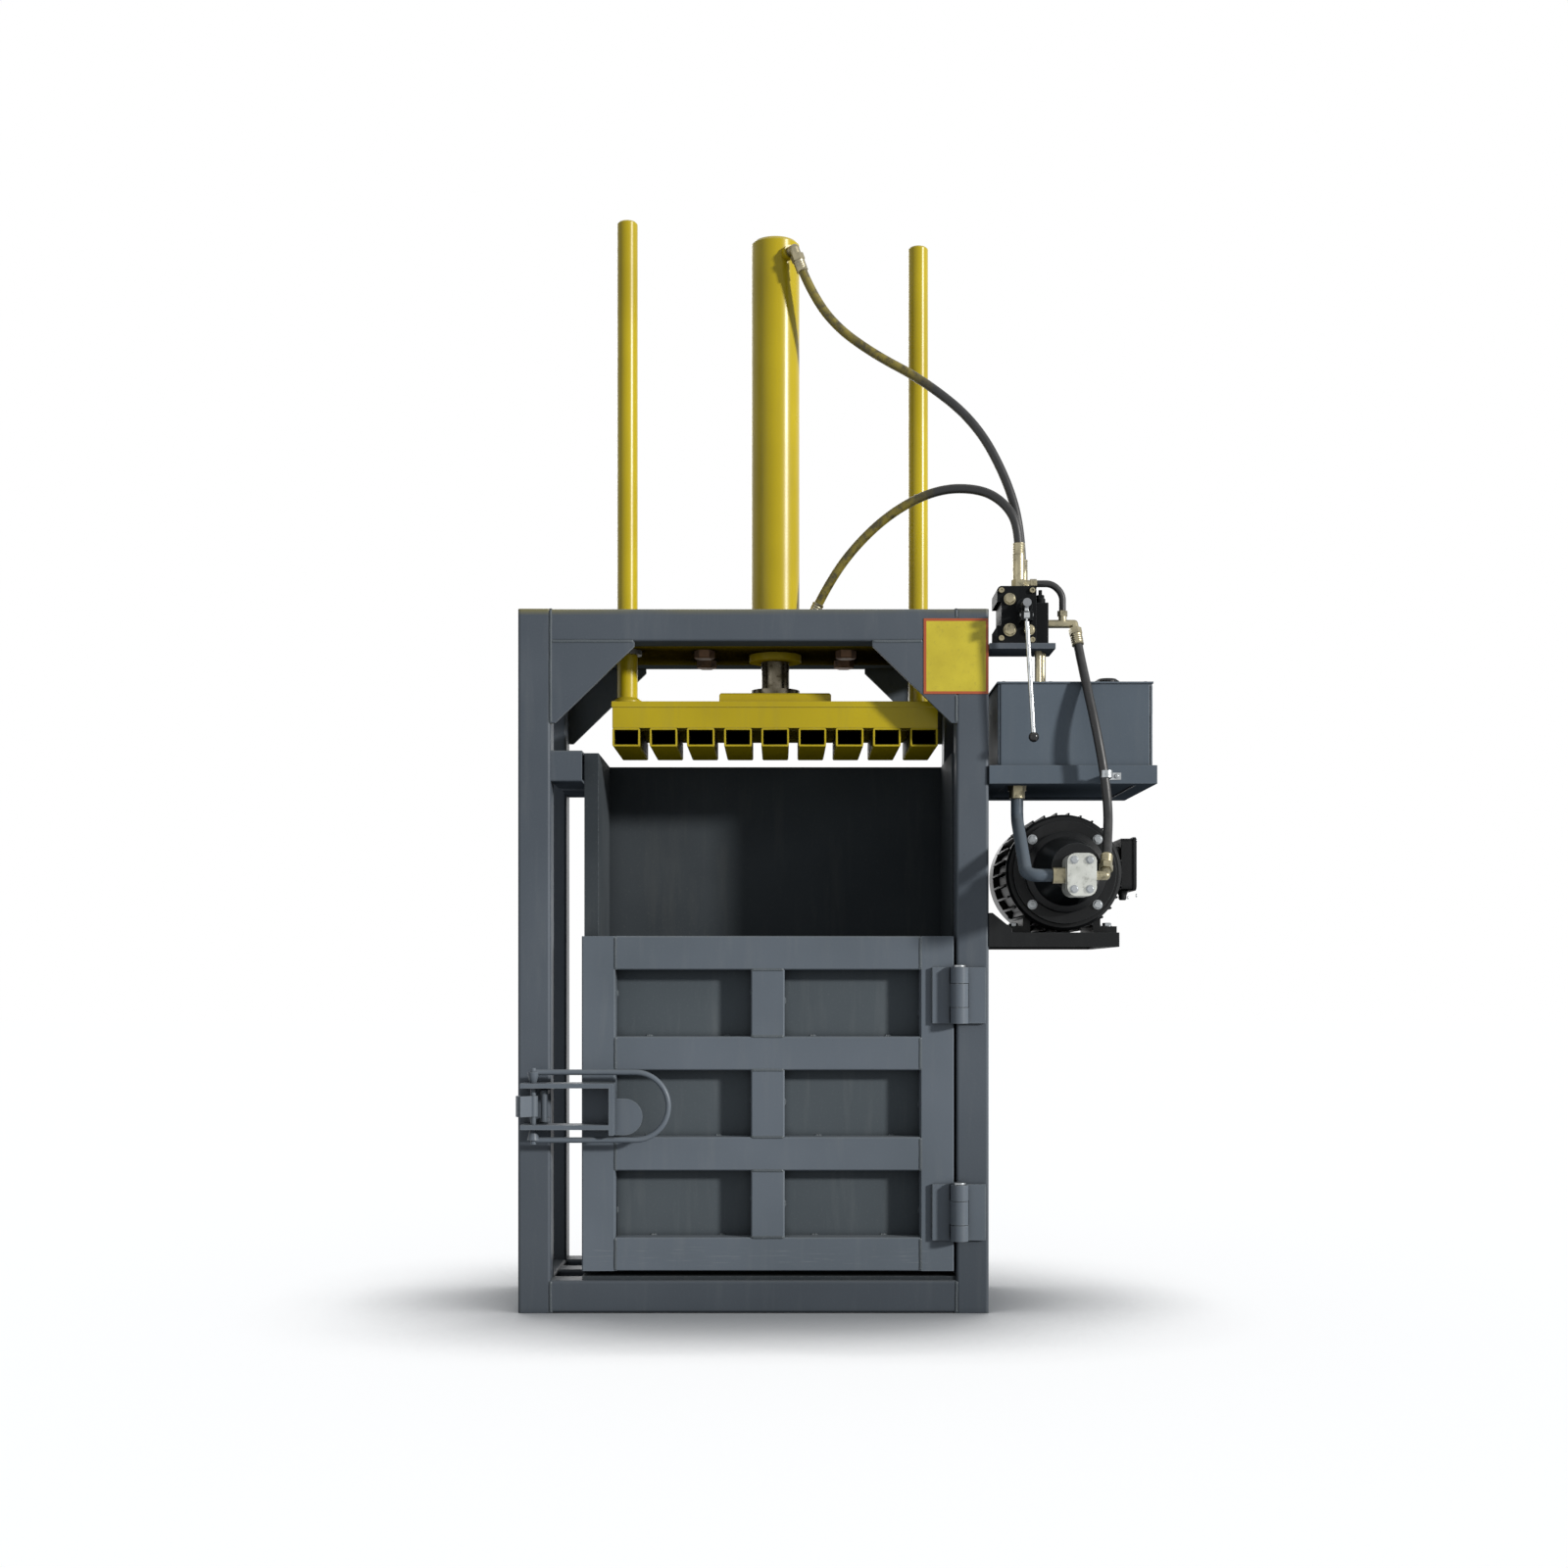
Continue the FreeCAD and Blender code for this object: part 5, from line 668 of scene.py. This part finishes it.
def layBead(mesh, run, wide=beadLook["wide"], high=beadLook["high"], closed=False):
    # a half-round bead; its ripples lag at the sides, as the crescents of a moving pool do
    look = beadLook
    around = [math.pi * part / look["facets"] for part in range(look["facets"] + 1)]
    drift, rings = 0.0, []
    for step, (place, along, facing) in enumerate(run):
        across = along.cross(facing)
        drift = drift * 0.9 + dice.uniform(-1, 1) * look["wander"] * 0.3
        wave = 0.5 + 0.5 * math.cos(2 * math.pi * step * look["station"] / look["ripple"])
        ends = 1 if closed else min(1, 0.35 + min(step, len(run) - 1 - step) * 0.3)
        ring = []
        for turn in around:
            level = math.cos(turn)
            lift = math.sin(turn) * high * (0.72 + 0.28 * wave) * ends
            lag = -look["crescent"] * level * level
            ring.append(mesh.verts.new((place + across * (level * wide / 2 * (0.94 + 0.06 * wave) + drift)
                                        + along * lag + facing * (lift - look["sunk"])) * mm))
        rings.append(ring)
    bridge(mesh, rings, looped=closed, capped=not closed)


# the seams' places are in millimetres, each with its start, its end and the way it faces
baseSeam, topSeam = (2, 68), (1442, 1508)
frameWelds = {
    "posts": [((x, y, low), (x, y, high), (0, y, 0)) for x, y in ((-435, -200), (-435, 200), (435, 200))
              for low, high in (baseSeam, (1267, 1508))],
    "platedPost": [((435, -200, low), (435, -200, high), (0, -1, 0))
                   for low, high in (baseSeam, (1267, 1325), (1491, 1508))],
    "beamTops": [((x, low, 1510), (x, high, 1510), (0, 0, 1))
                 for x in (-435, 435) for low, high in ((-198, -132), (132, 198))],
    "rails": [((505, y, low), (505, y, high), (1, 0, 0))
              for y in (-130, 130) for low, high in (baseSeam, topSeam)],
    "gussets": [((start, y, 1440), (end, y, 1440), (0, y, 0)) for start, end, y in
                ((-433, -257, -200), (257, 363, -200), (-433, -257, 200), (257, 433, 200))],
    "keeper": [((-454, -200, z), (-436, -200, z), (0, -1, z - 446)) for z in (412, 480)],
    "leaves": [((497, -200, low), (497, -200, high), (1, -1, 0)) for low, high in ((161, 273), (625, 737))],
}
doorWelds = {
    "front": -200, "skin": -150, "short": 2,
    "rails": [(90, 162), (305, 377), (521, 593), (736, 808)],
    "stileX": (-296, 358),
    "middleX": (-5, 67),
    "recessZ": [(162, 305), (377, 521), (593, 736)],
    "recessX": [(-296, -5), (67, 358)],
    "leaves": [((383, -200, low), (383, -200, high), (-1, -1, 0)) for low, high in ((161, 273), (625, 737))],
    "bracket": [((-366, -200, z), (-301, -200, z), (0, -1, way)) for z, way in ((397, -1), (495, 1))],
    "heavy": {"wide": 8, "high": 3},
    "tack": {"long": 15, "wide": 9, "high": 4, "apart": 80, "strayAcross": 14, "strayUp": 25},
}


def weldFrame(welds):
    mesh = bmesh.new()
    for seams in welds.values():
        for start, end, facing in seams:
            layBead(mesh, straightRun(start, end, facing))
    settle("frame_welds", mesh, weldEnamel, "frame")


def tackRecess(mesh, welds, left, right, low, high):
    # two tacks along the foot of a recess and one up each of its sides, never quite in line
    tack, skin = welds["tack"], welds["skin"]
    middle, half = (left + right) / 2, tack["long"] / 2
    for x in (middle - tack["apart"], middle + tack["apart"]):
        x += dice.uniform(-tack["strayAcross"], tack["strayAcross"])
        run = straightRun((x - half, skin, low), (x + half, skin, low), (0, -1, 1))
        layBead(mesh, run, tack["wide"], tack["high"])
    for x, way in ((left, 1), (right, -1)):
        z = (low + high) / 2 + dice.uniform(-tack["strayUp"], tack["strayUp"])
        run = straightRun((x, skin, z - half), (x, skin, z + half), (way, -1, 0))
        layBead(mesh, run, tack["wide"], tack["high"])


def weldDoor(welds):
    mesh = bmesh.new()
    front, short = welds["front"], welds["short"]
    for x in welds["stileX"]:
        for low, high in welds["rails"]:
            layBead(mesh, straightRun((x, front, low + short), (x, front, high - short), (0, -1, 0)))
    near, far = welds["middleX"]
    for low, high in welds["recessZ"]:
        for z in (low, high):
            layBead(mesh, straightRun((near + short, front, z), (far - short, front, z), (0, -1, 0)))
        for left, right in welds["recessX"]:
            tackRecess(mesh, welds, left, right, low, high)
    for start, end, facing in welds["leaves"] + welds["bracket"]:
        layBead(mesh, straightRun(start, end, facing), welds["heavy"]["wide"], welds["heavy"]["high"])
    settle("door_welds", mesh, weldEnamel, "door")


weldFrame(frameWelds)
weldDoor(doorWelds)

# the press, in millimetres: the cylinder's foot on its flange, and the pad and the guide rods on the beam
pressWelds = {
    "foot": {"middle": (46.5, 0, 1480), "radius": 54, "wide": 9, "high": 3.4},
    "pad": {"left": -76.5, "right": 169.5, "front": -90, "back": 90, "z": 1320},
    "rods": {"middles": ((-279.5, -70, 1320), (372.5, 85, 1320)), "radius": 34, "wide": 7, "high": 3},
}


def weldPress(welds):
    mesh = bmesh.new()
    foot, pad, rods = welds["foot"], welds["pad"], welds["rods"]
    layBead(mesh, roundRun(foot["middle"], foot["radius"]), foot["wide"], foot["high"], closed=True)
    settle("cylinder_welds", mesh, pressEnamel, "frame")
    mesh = bmesh.new()
    corners = [(pad[x], pad[y], pad["z"]) for x, y in
               (("left", "front"), ("right", "front"), ("right", "back"), ("left", "back"))]
    facings = ((0, -1, 1), (1, 0, 1), (0, 1, 1), (-1, 0, 1))
    for start, end, facing in zip(corners, corners[1:] + corners[:1], facings):
        layBead(mesh, straightRun(start, end, facing))
    for middle in rods["middles"]:
        layBead(mesh, roundRun(middle, rods["radius"]), rods["wide"], rods["high"], closed=True)
    settle("platen_welds", mesh, pressEnamel, "platen")


weldPress(pressWelds)

# pressed caps close the rear ends of the platen's tubes; deep in the tubes their enamel takes painted shade,
# so they look dark from the front; millimetres
capPlates = {"y": 143.2, "low": 1224, "high": 1260, "thick": 1.6, "inset": 2.2, "dish": 3, "rim": 4}


def closeTubes(look):
    mesh = bmesh.new()
    rim, low, high = look["rim"], look["low"], look["high"]
    back, front = look["y"], look["y"] - look["thick"]
    bare = bmesh.new()
    bare.from_mesh(nodes["platen_tubes"].data)
    bmesh.ops.remove_doubles(bare, verts=bare.verts, dist=0.01 * mm)
    left = set(bare.verts)
    for first in bare.verts:
        if first not in left:
            continue
        # each island of the node's mesh is one tube
        left.remove(first)
        pending = [first]
        island = []
        while pending:
            corner = pending.pop()
            island.append(corner.co.x / mm)
            for edge in corner.link_edges:
                other = edge.other_vert(corner)
                if other in left:
                    left.remove(other)
                    pending.append(other)
        start, end = min(island) + look["inset"], max(island) - look["inset"]
        outer = [(start, low), (end, low), (end, high), (start, high)]
        inner = [(start + rim, low + rim), (end - rim, low + rim), (end - rim, high - rim),
                 (start + rim, high - rim)]
        rings = [[mesh.verts.new(Vector((x, y, z)) * mm) for x, z in shape]
                 for shape, y in ((outer, back), (inner, back - look["dish"]),
                                  (inner, front - look["dish"]), (outer, front))]
        bridge(mesh, rings, looped=True)
        mesh.faces.new(rings[1])
        mesh.faces.new(rings[2][::-1])
    bare.free()
    settle("tube_caps", mesh, tubeEnamelShadedInside, "platen")


closeTubes(capPlates)

# the tank, in millimetres: corner seams of its folded shell, and pan-head screws round its lid
tankLook = {
    "left": 526, "right": 855, "half": 196, "low": 1176, "high": 1348, "lidTop": 1354,
    "seamWide": 4.5, "seamHigh": 1.2,
    "screwInset": 12, "screwRadius": 5, "screwHigh": 2.6, "acrossCount": 4, "alongCount": 4,
}


def panScrew(mesh, base, axis, radius, high):
    # a pan head with a cross recess drawn as a shallow dish
    turnProfile(mesh, [(0, 0), (radius, 0), (radius, high * 0.4), (radius * 0.8, high * 0.85),
                       (radius * 0.45, high), (radius * 0.3, high * 0.6), (0, high * 0.6)], base, axis, 16)


def finishTank(look):
    mesh = bmesh.new()
    for x, way in ((look["left"], -1), (look["right"], 1)):
        for y, side in ((-look["half"], -1), (look["half"], 1)):
            run = straightRun((x, y, look["low"]), (x, y, look["high"]), (way, side, 0))
            layBead(mesh, run, look["seamWide"], look["seamHigh"])
    settle("tank_welds", mesh, tankEnamel, "frame")
    mesh = bmesh.new()
    left, right = look["left"] + look["screwInset"], look["right"] - look["screwInset"]
    edge = look["half"] - look["screwInset"]
    places = [(left + (right - left) * step / (look["acrossCount"] - 1), side * edge)
              for step in range(look["acrossCount"]) for side in (-1, 1)]
    places += [(x, -edge + 2 * edge * step / look["alongCount"]) for x in (left, right)
               for step in range(1, look["alongCount"])]
    for x, y in places:
        panScrew(mesh, (x, y, look["lidTop"]), (0, 0, 1), look["screwRadius"], look["screwHigh"])
    settle("lid_screws", mesh, zincSteel, "frame")


finishTank(tankLook)

# the clip that holds the pressure hose off the tray's front, in millimetres and degrees
clipLook = {
    "tray": -206, "hose": (748.5, -250.5), "z": 1150, "wide": 15, "thick": 2, "radius": 11.6, "foot": 26,
    "bend": 3, "bendMiddle": 0.8, "wrap": 320, "turn": 20, "screw": 5, "screwHigh": 3, "screwInset": 10,
}


def makeClip(look):
    # a bent band: its foot on the tray, then nearly once round the hose
    x, y = look["hose"]
    radius, thick = look["radius"] + look["thick"] / 2, look["thick"]
    foot, side, middle = look["tray"] - thick / 2, x + radius, look["bendMiddle"]
    path = [Vector((side + look["foot"], foot)), Vector((side + look["bend"], foot)),
            Vector((side + middle, foot - middle)), Vector((side, foot - look["bend"]))]
    path += [Vector((x + radius * math.cos(math.radians(a)), y + radius * math.sin(math.radians(a))))
             for a in range(0, -look["wrap"] - 1, -look["turn"])]
    mesh = bmesh.new()
    rings = []
    for step, spot in enumerate(path):
        before, after = path[max(0, step - 1)], path[min(len(path) - 1, step + 1)]
        along = (after - before).normalized()
        across = Vector((along.y, -along.x)) * thick / 2
        rings.append([mesh.verts.new(Vector((spot.x + across.x * way, spot.y + across.y * way,
                                             look["z"] + look["wide"] / 2 * rise)) * mm)
                      for way, rise in ((1, -1), (1, 1), (-1, 1), (-1, -1))])
    bridge(mesh, rings, capped=True)
    panScrew(mesh, (side + look["foot"] - look["screwInset"], look["tray"] - thick, look["z"]), (0, -1, 0),
             look["screw"], look["screwHigh"])
    settle("hose_clip", mesh, zincSteel, "frame")


makeClip(clipLook)

# the valve's front, in millimetres: hexagon plugs with their width over corners, and the screws that
# hold its sections together
valveLook = {
    "front": -215, "plugs": [(548, 1462, 24), (548, 1528, 22), (590, 1462, 20)],
    "screws": [(530, 1444), (596, 1546), (530, 1546), (596, 1440.5)],
    "plugHigh": 8, "flange": 1.2, "flangeOut": 0.58,
}


def finishValve(look):
    mesh = bmesh.new()
    front, flange, out = look["front"], look["flange"], (0, -1, 0)
    for x, z, corners in look["plugs"]:
        wide = corners * look["flangeOut"]
        turnProfile(mesh, [(0, 0), (wide, 0), (wide, flange), (0, flange)], (x, front, z), out, 24)
        hexHead(mesh, (x, front - flange, z), out, corners, look["plugHigh"], (0, 0, 1))
    for x, z in look["screws"]:
        # socket heads, the hexagon drawn as a round hole
        turnProfile(mesh, [(0, 0), (6, 0), (6, 5.2), (5.2, 6), (3, 6), (2.6, 2.6), (0, 2.6)],
                    (x, front, z), out, 20)
    settle("valve_plugs", mesh, fittingSteel, "frame")


# the filler cap's grip, in millimetres
capLook = {
    "middle": (790, 0), "low": 1362, "high": 1384, "radius": 25.8, "ribs": 26, "ribWide": 2.4,
    "ribDeep": 1.4, "sunk": 0.5, "taper": 1.5, "taperDeep": 0.6,
}


def ribCap(look):
    # moulded grip ribs down the filler cap's side, shallower at both ends
    mesh = bmesh.new()
    stations = ((look["low"], look["taperDeep"]), (look["low"] + look["taper"], 1.0),
                (look["high"] - look["taper"], 1.0), (look["high"], look["taperDeep"]))
    for rib in range(look["ribs"]):
        turn = 2 * math.pi * rib / look["ribs"]
        out = Vector((math.cos(turn), math.sin(turn), 0))
        across = Vector((-out.y, out.x, 0)) * look["ribWide"] / 2
        foot = Vector((*look["middle"], 0)) + out * (look["radius"] - look["sunk"])
        rings = []
        for z, deep in stations:
            top = foot + out * (look["ribDeep"] * deep + look["sunk"])
            shape = (foot - across, top - across * 0.5, top + across * 0.5, foot + across)
            rings.append([mesh.verts.new((place + Vector((0, 0, z))) * mm) for place in shape])
        bridge(mesh, rings, capped=True)
    settle("cap_ribs", mesh, motorEnamel, "frame")


finishValve(valveLook)
ribCap(capLook)

# the motor, in millimetres and degrees: screws round the fan cowl's skirt and on the terminal box cover
motorLook = {
    "axis": (675, 948), "cowlRadius": 128.6, "cowlY": 120, "cowlTurns": (45, 135, 225, 315),
    "cowlScrew": 4.5, "screwHigh": 2.4, "boxFace": 841.5, "boxY": (-78, 30), "boxZ": (900, 1021),
    "boxScrew": 4,
}


def screwMotor(look):
    mesh = bmesh.new()
    x, z = look["axis"]
    for turn in look["cowlTurns"]:
        out = Vector((math.cos(math.radians(turn)), 0, math.sin(math.radians(turn))))
        panScrew(mesh, Vector((x, look["cowlY"], z)) + out * look["cowlRadius"], out, look["cowlScrew"],
                 look["screwHigh"])
    for y in look["boxY"]:
        for high in look["boxZ"]:
            panScrew(mesh, (look["boxFace"], y, high), (1, 0, 0), look["boxScrew"], look["screwHigh"])
    settle("motor_screws", mesh, zincSteel, "frame")


screwMotor(motorLook)

# light as in the photograph: a low sun from the right, soft sky from everywhere, and a white surround;
# places and sizes are in metres
studio = {
    "floor": "#EDEDED", "floorHalf": 30, "floorDrop": 0.5 * mm,
    "sunFrom": (1.45, -1.0, 0.5), "sunPower": 3.5, "sunWide": 5, "sunTint": (1.0, 0.985, 0.96),
    "sky": (0.92, 0.96, 1.0), "skyPower": 0.33, "aim": (0.1, 0, 1.1),
    "fill": {"place": (-3.6, -3.2, 1.6), "size": 2.6, "power": 10.5, "tint": (0.95, 0.98, 1.0)},
    "back": {"place": (-1.2, 4.2, 3.2), "size": 3.0, "power": 95, "tint": (1.0, 1.0, 1.0)},
    "floorGlow": 0.74, "shadeReach": 0.6, "shadePower": 4.7,
}


def whiteRays(tree):
    # 1 for the rays that meet a white surround: from the camera, a shiny surface or glass
    rays = addNode(tree, "LightPath").outputs
    bounced = addNode(tree, "Math", {0: rays["Is Glossy Ray"], 1: rays["Is Transmission Ray"]},
                      operation="MAXIMUM")
    return addNode(tree, "Math", {0: rays["Is Camera Ray"], 1: bounced}, operation="MAXIMUM")


def layFloor(look):
    mesh = bmesh.new()
    bmesh.ops.create_grid(mesh, x_segments=6, y_segments=6, size=look["floorHalf"])
    data = bpy.data.meshes.new("floor")
    mesh.to_mesh(data)
    mesh.free()
    floor = bpy.data.objects.new("floor", data)
    floor.location = (0, 0, -look["floorDrop"])
    material, tree, shader = newMaterial("floorPaper")
    shader.inputs["Base Color"].default_value = hexColour(look["floor"])
    shader.inputs["Roughness"].default_value = 0.8
    shader.inputs["Specular IOR Level"].default_value = 0.0
    # a glow seen by camera and shiny rays paints the paper white, and fades where something stands close
    # over it: a painted shadow round the base
    near = addNode(tree, "AmbientOcclusion", {"Distance": look["shadeReach"]}, samples=12)
    deep = addNode(tree, "Math", {0: near.outputs["AO"], 1: look["shadePower"]}, operation="POWER")
    glow = addNode(tree, "Math", {0: deep, 1: whiteRays(tree)}, operation="MULTIPLY")
    glow = addNode(tree, "Math", {0: glow, 1: look["floorGlow"]}, operation="MULTIPLY")
    shader.inputs["Emission Color"].default_value = (1, 1, 1, 1)
    tree.links.new(glow.outputs[0], shader.inputs["Emission Strength"])
    data.materials.append(material)
    scene.collection.objects.link(floor)
    return floor


def lightStudio(look, floor):
    # the lamps' long shadows aren't wanted on the paper, only on the machine
    spared = bpy.data.collections.new("spared")
    spared.objects.link(floor)
    sun = bpy.data.lights.new("sun", "SUN")
    sun.energy = look["sunPower"]
    sun.angle = math.radians(look["sunWide"])
    sun.color = look["sunTint"]
    lamp = bpy.data.objects.new("sun", sun)
    scene.collection.objects.link(lamp)
    lamp.rotation_euler = (-Vector(look["sunFrom"])).to_track_quat("-Z", "Y").to_euler()
    lamp.light_linking.receiver_collection = spared
    spared.collection_objects[0].light_linking.link_state = "EXCLUDE"
    for name in ("fill", "back"):
        made = look[name]
        light = bpy.data.lights.new(name, "AREA")
        light.shape = "SQUARE"
        light.size = made["size"]
        light.energy = made["power"]
        light.color = made["tint"]
        lamp = bpy.data.objects.new(name, light)
        scene.collection.objects.link(lamp)
        lamp.location = made["place"]
        towards = Vector(look["aim"]) - Vector(made["place"])
        lamp.rotation_euler = towards.to_track_quat("-Z", "Y").to_euler()
        lamp.light_linking.receiver_collection = spared


def surround(look):
    world = bpy.data.worlds.new("surround")
    scene.world = world
    world.use_nodes = True
    tree = world.node_tree
    tree.nodes.clear()
    sky = addNode(tree, "Background", {"Color": (*look["sky"], 1), "Strength": look["skyPower"]})
    white = addNode(tree, "Background", {"Color": (1, 1, 1, 1), "Strength": 1.0})
    both = addNode(tree, "MixShader", {0: whiteRays(tree), 1: sky, 2: white})
    addNode(tree, "OutputWorld", {"Surface": both})


lightStudio(studio, layFloor(studio))
surround(studio)
scene.view_settings.view_transform = "Standard"
print("studio lit")
